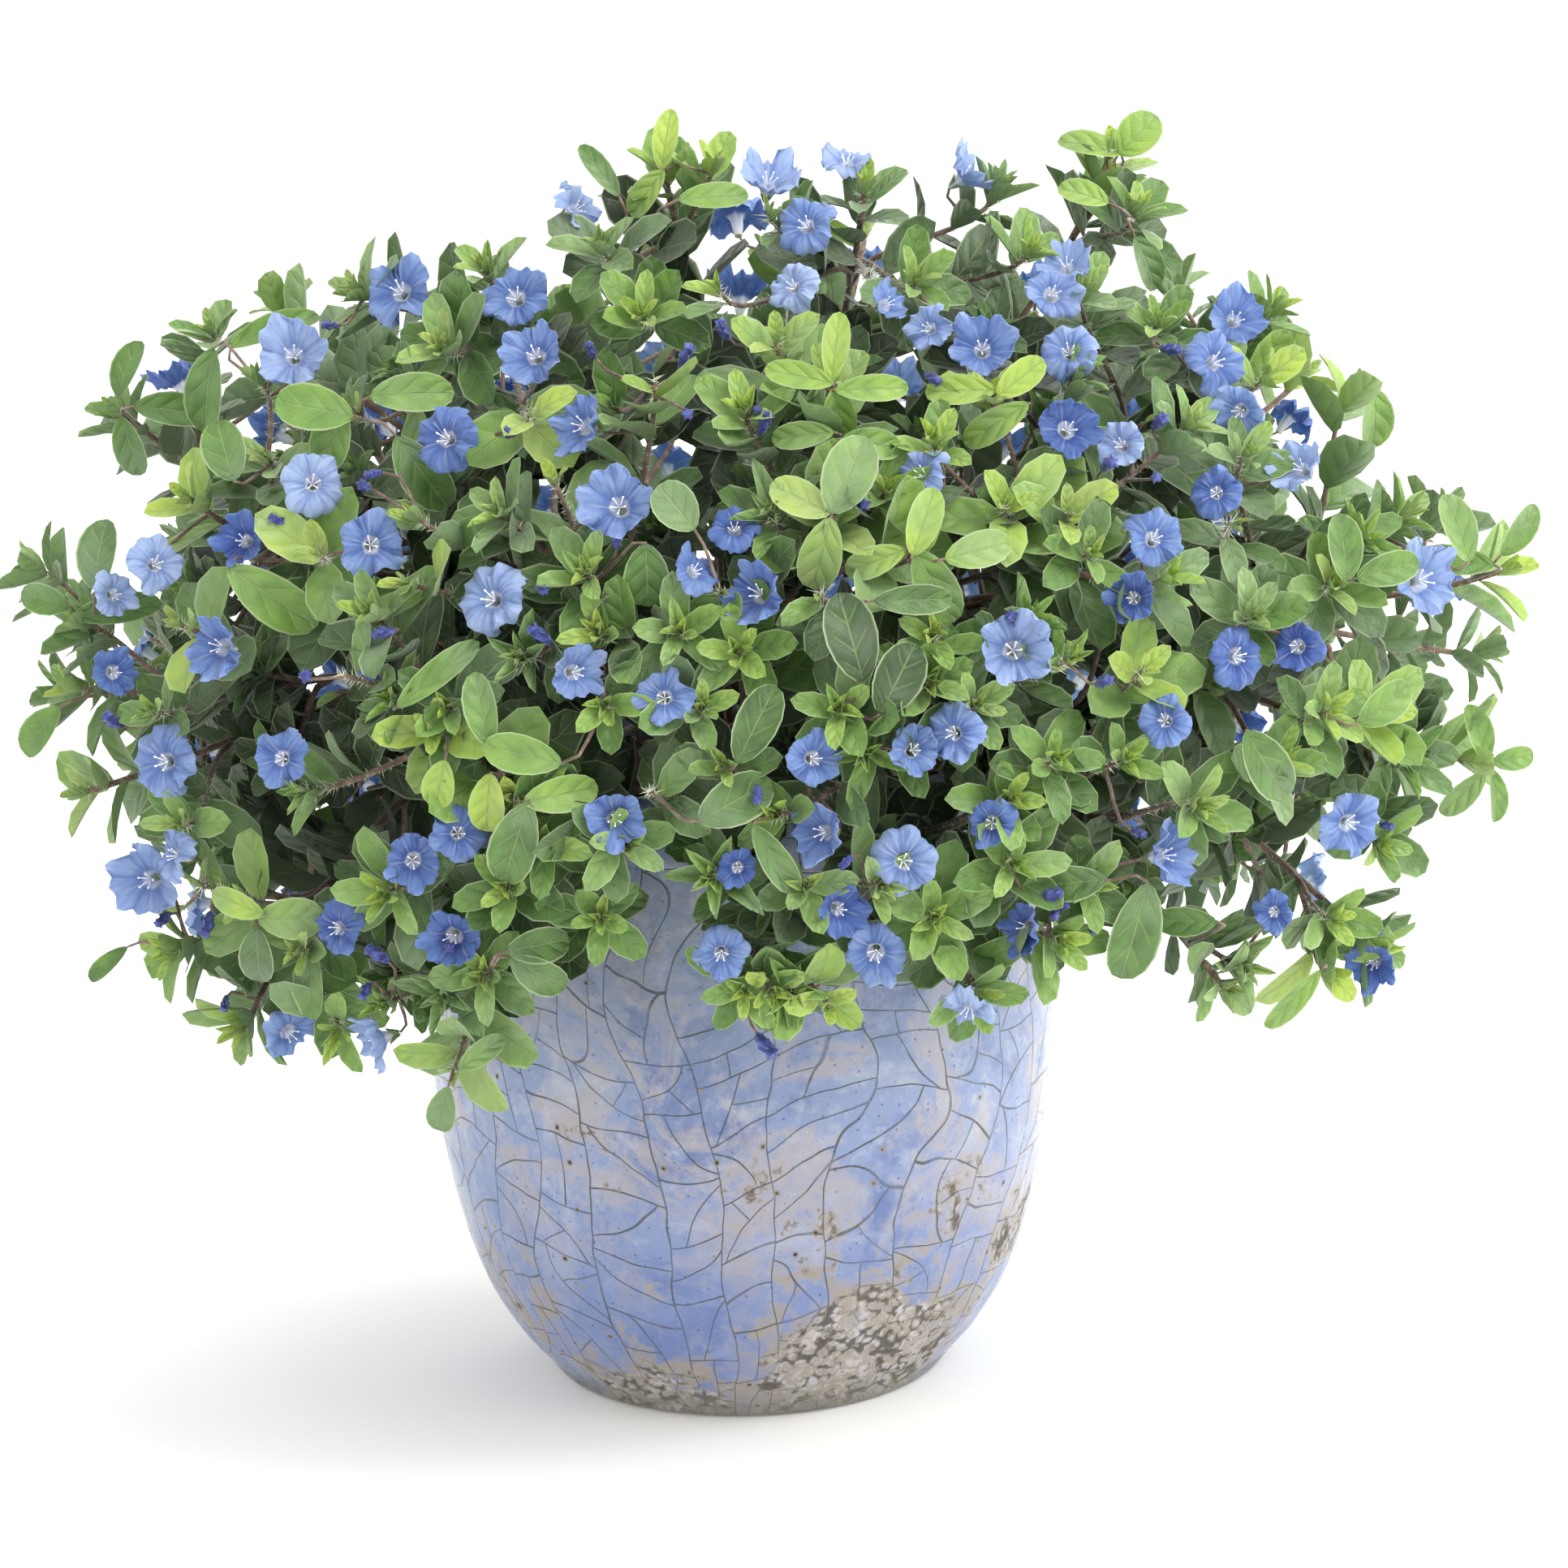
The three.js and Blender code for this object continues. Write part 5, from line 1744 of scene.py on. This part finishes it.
    def add_side_shoot(self, tip: np.ndarray, form: Tip, inner: bool = False) -> None:
        """Let a side shoot grow to a tip, from the branch of its CAD node or else the handiest one.

        Args:
            tip: where it ends.
            form: how it ends.
            inner: whether it only fills.
        """
        owner = self.cad_owner(tip)
        if owner is not None:
            owner, share = self.fork(tip, [owner], (3 / 6, 4 / 6, 5 / 6))
            lift = math.radians(between(TIP_LIFT, tip[2]))
            foot = self.branches[owner].at(share)
            flat = unit(np.array([tip[0] - foot[0], tip[1] - foot[1], 0]))
            end = flat * math.cos(lift) + UP * math.sin(lift)
        else:
            owner, share = self.fork(tip, range(len(self.branches)), (0.35, 0.45, 0.55, 0.65, 0.75, 0.85))
            foot = self.branches[owner].at(share)
            end = unit(self.tip_axis(tip) + unit(tip - foot) * 0.8)
        self.crowd[owner] = self.crowd.get(owner, 0) + 1
        length = float(np.linalg.norm(tip - foot))
        along = self.branches[owner].way(share)
        curve = StemCurve(foot, foot + along * length * 0.3, tip - end * length * 0.3, tip)
        self.shoots.append(Shoot(curve, owner, form, 0.95, 0.12, inner))

    def grow_side_shoots(self) -> None:
        """Grow the side shoots that the lists name."""
        for tip in SIDE_TIPS:
            self.add_side_shoot(self.foliage.on_front(*tip), self.form_of(tip))
        for tip in BACK_SIDE_TIPS:
            self.add_side_shoot(self.foliage.round_about(*tip), self.any_form())
        for tip in MORE_TIPS:
            self.add_side_shoot(self.foliage.on_front(*tip), self.form_of(tip))

    def grow_filling(self) -> None:
        """Grow more side shoots behind, where no list names them, and shorter ones inside the mound."""
        tips = [shoot.curve.points[-1] for shoot in self.shoots]
        for share, spacing, first_turn, tries in SHELLS:
            skin = share > SKIN
            for _ in range(tries):
                turn = self.rng.uniform(first_turn, 180)
                height = self.rng.uniform(*self.filled_heights)
                if not skin:
                    height = self.heart_height + (height - self.heart_height) * (share + 0.08)
                tip = self.foliage.round_about(turn, height, share * self.rng.uniform(0.96, 1.03))
                airy = 8 if tip[0] > 120 or tip[2] > 330 else 0
                if skin and tip[1] < self.behind:
                    continue
                if self.foliage.room(tip) < airy + (12 if skin else 20):
                    continue
                if min(float(np.linalg.norm(tip - other)) for other in tips) < spacing:
                    continue
                if math.hypot(tip[0], tip[1]) < self.over_pot[0] and tip[2] < self.over_pot[1]:
                    continue
                tips.append(tip)
                self.add_side_shoot(tip, self.any_form(), inner=not skin)

    def leaves_of(self, shoot: Shoot) -> list[Leaf]:
        """The leaves of a shoot, in a spiral from its tip down.

        Args:
            shoot: the shoot.

        Returns:
            Its leaves.
        """
        form = SHOOT_FORMS[shoot.tip]
        rng = self.rng
        tip = shoot.curve.points[-1]
        axis = unit(self.tip_axis(tip) + shoot.curve.way(1) * 0.5)
        start = rng.uniform(0, 2 * math.pi)
        leaves = []
        size = rng.uniform(0.9, 1.12)
        # Tone differs at random from shoot to shoot, and inner shoots get painted shade that makes their
        # leaves 0.22 darker.
        shade = rng.uniform(-0.07, 0.07) - (0.22 if shoot.inner else 0)
        size *= 1.25 if shoot.inner else 1.1
        most = self.inner_leaves if shoot.inner else self.outer_leaves
        number = 0
        while True:
            distance = between(form.distance, number)
            share = 1 - distance / shoot.curve.length
            if share < shoot.leafed_from or number > most:
                return leaves
            foot = shoot.curve.at(share)
            blended = math.exp(-distance / 9)
            along = unit(axis * blended + shoot.curve.way(share) * (1 - blended))
            outward = self.foliage.outward(foot)
            radial = around(along, start + number * GOLDEN_TURN + rng.uniform(-0.2, 0.2))
            lean = math.radians(between(form.spread, number) + rng.uniform(-9, 9))
            way = along * math.cos(lean) + radial * math.sin(lean)
            low = 1 - math.exp(-distance / 18)
            way = unit(way + (outward * 0.35 + UP * 0.15) * low)
            face = along * math.sin(lean) - radial * math.cos(lean)
            face = face + (outward * 0.9 + UP * 0.5) * low + shake(rng, 0.3)
            face = unit(face - way * float(face @ way))
            depth = self.foliage.depth(foot)
            # Painted shade: the deeper a leaf lies in the mound, the darker its tone, much more in front than
            # behind.
            painted_depth_shade = self.front_painted_shade if foot[1] < 20 else self.back_painted_shade
            tone = between(form.tone, number) + 0.05 + shade - painted_depth_shade * depth + rng.uniform(-0.09, 0.09)
            length = between(form.length, number) * size * rng.uniform(0.88, 1.12)
            ratio = between(form.ratio, number) * rng.uniform(0.98, 1.18)
            leaves.append(Leaf(foot + radial * shoot.radius * 0.6, way, face, length, ratio,
                               float(np.clip(tone, 0, 1)), rng.uniform(0, 1), inner=shoot.inner))
            number += 1

    def set_large_leaves(self) -> None:
        """Set the large leaves that stand out, each on a short twig from the nearest stem."""
        for foot_across, foot_up, tip_across, tip_up, width, tone in LARGE_LEAVES:
            foot = self.foliage.on_front(foot_across, foot_up)
            tip = self.eye.seen(tip_across, tip_up, foot[1])
            out = self.foliage.outward(foot)
            foot, tip = foot + out * 6, tip + out * 3
            way = unit(tip - foot)
            face = unit(out * 0.6 - self.eye.ahead)
            face = unit(face - way * float(face @ way))
            spot, owner = self.nearest_stem(foot - out * 4)
            length = float(np.linalg.norm(tip - foot))
            scale = 1 + foot[1] / self.eye.distance
            gap = np.linalg.norm(foot - spot)
            twig = StemCurve(spot, spot + (foot - spot) * 0.4, foot - way * 0.3 * gap, foot)
            if gap > 2:
                self.stalks.append((twig, owner))
            self.leaves.setdefault(owner, []).append(
                Leaf(foot, way, face, length, width * scale / length, tone, self.rng.uniform(0, 1), True))

    def nearest_stem(self, point: np.ndarray) -> tuple[np.ndarray, int]:
        """The nearest point on any stem's outer part, and the branch that it belongs to.

        Args:
            point: the place to start from.

        Returns:
            The point on the stem, and the branch's number.
        """
        best = (math.inf, point, 0)
        for shoot in self.shoots:
            points = shoot.curve.points[OUTER_PART]
            gaps = np.linalg.norm(points - point, axis=1)
            i = int(gaps.argmin())
            if gaps[i] < best[0]:
                best = (float(gaps[i]), points[i], shoot.owner)
        return best[1], best[2]

    def turned_facing(self, facing: np.ndarray, right: float, up: float) -> np.ndarray:
        """A facing turned by degrees to the right and up.

        Args:
            facing: the direction to turn.
            right, up: how far, in degrees.

        Returns:
            The turned direction.
        """
        side = unit(np.cross(facing, UP))
        over = np.cross(side, facing)
        turned = facing * math.cos(math.radians(right)) - side * -math.sin(math.radians(right))
        return unit(turned * math.cos(math.radians(up)) + over * math.sin(math.radians(up)))

    def set_blooms(self) -> None:
        """Set the flowers in front by the list, and those behind by the list and a seeded loop."""
        rng = self.rng
        heart = np.array(self.foliage.heart)
        for across, up, width, tone, *turns in FRONT_BLOOMS:
            middle = self.foliage.on_front(across, up)
            facing = unit(unit(middle - heart) + np.array([0, -1, 0.25]))
            right, rise = turns or (0, 0)
            self.add_bloom(middle, self.turned_facing(facing, right, rise), width, tone)
        backs = [self.foliage.round_about(*place) for place in BACK_BLOOMS]
        for _ in range(600):
            point = self.foliage.round_about(rng.uniform(0, 180), rng.uniform(125, 385))
            apart = min(float(np.linalg.norm(point - other)) for other in backs)
            if point[1] > self.behind and self.foliage.room(point) > 15 and apart > 40:
                backs.append(point)
        for middle in backs:
            facing = unit(unit(middle - heart) + UP * 0.35 + shake(rng, 0.3))
            self.add_bloom(middle, facing, rng.uniform(19, 24), rng.uniform(0.2, 0.8))

    def add_bloom(self, middle: np.ndarray, facing: np.ndarray, width: float, tone: float) -> None:
        """Add a flower, the stalk that carries it and its sepals.

        Args:
            middle: where its face is.
            facing: which way it faces.
            width: how wide it opens.
            tone: from deep to pale.
        """
        scale = 1 + min(0.0, middle[1]) / self.eye.distance
        middle = middle + self.foliage.outward(middle) * 4
        base = middle - facing * BLOOM_DEPTH * width / BLOOM_WIDTH
        spot, owner = self.nearest_stem(base)
        gap = float(np.linalg.norm(base - spot))
        stalk = StemCurve(spot, spot + (base - spot) * 0.3 + UP * gap * 0.1, base - facing * gap * 0.4, base)
        self.stalks.append((stalk, owner))
        spin = self.rng.uniform(0, 2 * math.pi)
        self.blooms.append(Bloom(middle, facing, width * scale, tone, owner, spin))
        for i in range(SEPALS):
            radial = around(facing, spin + i * 2 * math.pi / SEPALS)
            sepal = Leaf(base + radial * 0.8, unit(facing + radial * 0.45), unit(facing * 0.45 - radial),
                         SEPAL_LENGTH * width / BLOOM_WIDTH, 0.34, 0.75, 0.3)
            self.leaves.setdefault(owner, []).append(sepal)

    def clear_view(self) -> None:
        """Drop the leaves that would hide a flower or a large leaf from the eye."""
        marks = [(bloom.middle, bloom.width * 0.34) for bloom in self.blooms]
        large = [leaf for leaves in self.leaves.values() for leaf in leaves if leaf.large]
        marks += [(leaf.foot + leaf.way * leaf.length * share, leaf.length * leaf.ratio * 0.45)
                  for leaf in large for share in (0.3, 0.55, 0.8)]
        seen = self.eye.picture(np.array([middle for middle, _ in marks]))
        reach = np.array([radius for _, radius in marks])
        for owner, leaves in self.leaves.items():
            kept = []
            for leaf in leaves:
                places = self.eye.picture(leaf.samples)
                apart = np.linalg.norm(places[:, None, :2] - seen[None, :, :2], axis=2)
                nearer = places[:, None, 2] < seen[None, :, 2] - 1.5
                limit = reach[None] * (1.15 if leaf.length > 10 else 0.8)
                if leaf.large or not (nearer & (apart < limit)).any():
                    kept.append(leaf)
            self.leaves[owner] = kept

    def build(self) -> None:
        """Model the patterns and lay out every copy."""
        self.build_stems()
        self.build_leaves()
        self.build_blooms()
        self.build_spent()
        self.build_hairs()

    def build_stems(self) -> None:
        """Model the stems of each branch as one piece that stands for the branch's CAD node."""
        materials = [OLD_STEM.material(), YOUNG_STEM.material(), STALK.material()]
        for owner in range(len(self.branches)):
            name = f"branch_{owner + 1:02d}"
            lines = bpy.data.curves.new(f"{name}_stems", "CURVE")
            lines.dimensions = "3D"
            lines.bevel_depth = MM
            lines.bevel_resolution = 1
            lines.use_fill_caps = True
            runs = [(shoot.curve, shoot.radius, 0 if shoot.radius > 1 else 1)
                    for shoot in self.shoots if shoot.owner == owner]
            runs += [(stalk, 0.55, 2) for stalk, of in self.stalks if of == owner]
            for curve, radius, index in runs:
                steps = max(4, round(curve.length / 6))
                points = curve.spaced(steps) * MM
                spline = lines.splines.new("POLY")
                spline.points.add(steps)
                spline.points.foreach_set("co", np.c_[points, np.ones(steps + 1)].ravel())
                taper = [radius * (1.15 - 0.4 * i / steps) for i in range(steps + 1)]
                spline.points.foreach_set("radius", taper)
                spline.material_index = index
                spline.use_smooth = True
            for material in materials:
                lines.materials.append(material)
            stems = bpy.data.objects.new(f"{name}_stems", lines)
            bpy.context.scene.collection.objects.link(stems)
            deselect()
            stems.select_set(True)
            bpy.context.view_layer.objects.active = stems
            bpy.ops.object.convert(target="MESH")
            stems = bpy.context.object
            edit()
            close_seams(1e-6)
            bpy.ops.object.mode_set(mode="OBJECT")
            hand_over(stems, "stem", name)

    def build_leaves(self) -> None:
        """Model the leaf patterns and lay out the leaves of each branch as one piece."""
        coarse = [LeafBlade(5, 4, droop=droop, cup=cup).model("blade")
                  for droop, cup in ((0.05, 0.03), (0.18, 0.06), (0.32, 0.02), (-0.12, 0.1))]
        pointed = [LeafBlade(4, 2, point=0.75, droop=droop, fold=0.12).model("pointed_blade")
                   for droop in (0.05, 0.2)]
        fine = [LeafBlade(8, 6, droop=droop, cup=cup, fold=fold).model("large_blade")
                for droop, cup, fold in ((0.08, 0.04, 0.04), (0.2, 0.02, 0.08), (0.3, 0.08, 0.03))]
        plain = [LeafBlade(5, 2, droop=droop, fold=0.1).model("inner_blade") for droop in (0.1, 0.25)]
        surface = LIVING_LEAF.material()
        for mesh in (*coarse, *pointed, *fine, *plain):
            mesh.materials.append(surface)
        for owner, leaves in sorted(self.leaves.items()):
            copies = []
            for leaf in leaves:
                patterns = fine if leaf.large else pointed if leaf.ratio < 0.36 else coarse
                patterns = plain if leaf.inner else patterns
                pattern = patterns[int(leaf.curl * len(patterns) * 0.999)]
                across = np.cross(leaf.way, leaf.face)
                scale = (leaf.length * leaf.ratio / 0.5 * MM, leaf.length * MM, leaf.length * MM)
                place = place_matrix(leaf.foot, across, leaf.way, leaf.face, scale)
                copies.append(Copy(pattern, place, {"tone": leaf.tone}))
            piece = join_copies(f"branch_{owner + 1:02d}_leaves", copies)
            hand_over(piece, "leaf")

    def build_blooms(self) -> None:
        """Model the flower patterns, and lay out the flowers and their stamens."""
        tube = ((0.9, -9), (1.5, -6))
        flat = (*tube, (2.2, -3), (3.6, -1.2), (6.2, 0), (8.8, 0.4), (10.4, 0.2), (11.2, -0.3))
        cupped = (*tube, (2.4, -3.4), (3.8, -1.8), (6.2, 0), (8.6, 1.4), (10, 2.3), (10.8, 2.9))
        rolled = (*tube, (2.2, -2.8), (3.8, -0.8), (6.4, 0.2), (8.9, 0.1), (10.3, -0.9), (10.9, -2))
        patterns = [BloomShape(rings).model("bloom", seed) for seed, rings in
                    enumerate((flat, cupped, rolled, flat, cupped, rolled, cupped), start=1)]
        surface = PetalSurface().material()
        for mesh in patterns:
            mesh.materials.append(surface)
        stamens = StamenShape().model("stamens")
        stamens.materials.append(ANTHER.material())
        cad = {name: points_of(node.data).mean(0) / MM for name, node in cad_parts.items()
               if name.startswith("flower_")}
        groups: dict[str, list[Copy]] = {}
        stands_for: dict[str, str] = {}
        hearts = []
        free = dict(cad)
        for number, bloom in enumerate(self.blooms):
            across = around(bloom.facing, bloom.spin)
            along = np.cross(bloom.facing, across)
            size = bloom.width / BLOOM_WIDTH
            place = place_matrix(bloom.middle, across, along, bloom.facing, (size, size, size))
            copy = Copy(patterns[number % len(patterns)], place, {"tone": bloom.tone})
            near = [name for name, middle in free.items() if np.linalg.norm(middle - bloom.middle) < 16]
            name = f"corollas_{bloom.owner + 1:02d}"
            if near:
                node = min(near, key=lambda n: float(np.linalg.norm(free[n] - bloom.middle)))
                del free[node]
                name = f"{node}_corolla"
                stands_for[name] = node
            groups.setdefault(name, []).append(copy)
            deep = place_matrix(bloom.middle - bloom.facing * 3.4 * size, across, along, bloom.facing,
                                (size, size, size))
            hearts.append(Copy(stamens, deep, {}))
        log.info("flower nodes with no flower of their own: %s", sorted(free))
        for name, copies in sorted(groups.items()):
            piece = join_copies(name, copies)
            nodes = [stands_for[name]] if name in stands_for else []
            hand_over(piece, "petal", *nodes)
        hand_over(join_copies("stamens_of_all_flowers", hearts), "stamen")

    def set_spent(self) -> None:
        """Set the spent flowers and buds, each on a short stalk from the nearest stem."""
        rng = self.rng
        places = [self.foliage.on_front(*place) for place in SPENT_BLOOMS]
        more = [self.foliage.round_about(rng.uniform(5, 175), rng.uniform(130, 375), 0.98) for _ in range(50)]
        places += [place for place in more if self.foliage.room(place) > 8]
        for place in places:
            facing = unit(self.foliage.outward(place) + shake(rng, 0.9))
            spot, owner = self.nearest_stem(place)
            gap = float(np.linalg.norm(place - spot))
            place = place + self.foliage.outward(place) * 1.5
            stalk = StemCurve(spot, spot + (place - spot) * 0.4, place - facing * gap * 0.4,
                              place + facing * 0.5)
            self.stalks.append((stalk, owner))
            self.spent.append((place, facing, rng.uniform(0.6, 1.0)))

    def build_spent(self) -> None:
        """Lay out the spent flowers and buds."""
        pattern = SpentShape().model()
        pattern.materials.append(SPENT.material())
        copies = []
        for place, facing, size in self.spent:
            side = around(facing, 0)
            matrix = place_matrix(place, side, np.cross(facing, side), facing, (size, size, size))
            copies.append(Copy(pattern, matrix, {}))
        hand_over(join_copies("spent_flowers", copies), "spent_petal")

    def build_hairs(self) -> None:
        """Set silvery hairs on the young ends of the outer stems and in the rosettes."""
        rng = self.rng
        patterns = [TuftShape().model("tuft", seed) for seed in (1, 2, 3)]
        surface = HAIR.material()
        for mesh in patterns:
            mesh.materials.append(surface)
        copies = []
        for shoot in self.shoots:
            if shoot.inner:
                continue
            distance = 0.5
            while distance < min(46, shoot.curve.length * 0.7):
                share = 1 - distance / shoot.curve.length
                way = shoot.curve.way(share)
                across = around(way, rng.uniform(0, 2 * math.pi), 0.013)
                size = 1.5 if distance < 6 and shoot.tip is Tip.WOOLLY else 1.15 if distance < 6 else 0.9
                matrix = place_matrix(shoot.curve.at(share), across, np.cross(way, across), way, (size,) * 3)
                copies.append(Copy(rng.choice(patterns), matrix, {}))
                distance += 2.2 if distance < 8 else 4.5
        hand_over(join_copies("stem_hairs", copies), "hair")


@dataclass
class Studio:
    """A plain pale floor and soft light from all round, in metres."""

    floor_colour: str = "#F7F7F5"
    floor_size: float = 12.0
    world_strength: float = 1.2
    # Soft square lamps: name, place, side in metres and power in watts
    lamps: tuple[tuple[str, tuple[float, float, float], float, float], ...] = (
        ("key", (1.15, -1.0, 1.8), 1.1, 31), ("right_strip", (1.15, 0.1, 0.45), 0.4, 5),
        ("back", (0.3, 1.3, 1.4), 1.0, 12))

    def build(self) -> None:
        """Lay the floor and set the lights."""
        deselect()
        bpy.ops.mesh.primitive_plane_add(size=self.floor_size, location=(0, 0, -0.0004))
        floor = bpy.context.object
        floor.name = "floor"
        material, node = new_material("pale_floor")
        shader = node("BsdfPrincipled", {
            "Base Color": linear(self.floor_colour), "Roughness": 0.8, "Specular IOR Level": 0.1,
            "Emission Color": (1, 1, 1, 1), "Emission Strength": 0.1})
        node("OutputMaterial", {0: shader[0]})
        floor.data.materials.append(material)
        world = bpy.data.worlds.new("studio")
        world.use_nodes = True
        backdrop = world.node_tree.nodes["Background"]
        backdrop.inputs[0].default_value = (1, 1, 1, 1)
        backdrop.inputs[1].default_value = self.world_strength
        bpy.context.scene.world = world
        bpy.context.scene.view_settings.view_transform = "Standard"
        for lamp in self.lamps:
            self.lamp(*lamp)

    def lamp(self, name: str, place: tuple[float, float, float], size: float, power: float) -> None:
        """Hang one soft square lamp that points at the plant.

        Args:
            name: the lamp's name.
            place: where it hangs, in metres.
            size: its side, in metres.
            power: its power, in watts.
        """
        light = bpy.data.lights.new(name, "AREA")
        light.size = size
        light.energy = power
        lamp = bpy.data.objects.new(name, light)
        lamp.location = place
        aim = Vector((0, 0, 0.2)) - Vector(place)
        lamp.rotation_euler = aim.to_track_quat("-Z", "Y").to_euler()
        bpy.context.scene.collection.objects.link(lamp)


def main() -> None:
    """Build the object piece by piece, then the studio round it."""
    logging.basicConfig(level=logging.INFO, format="%(name)s: %(message)s")
    eye = Eye()
    eye.camera()
    GlazedPot().build()
    PottingSoil().build()
    plant = Plant(eye, Foliage(eye))
    plant.grow()
    plant.build()
    Studio().build()


if __name__ == "__main__":
    main()
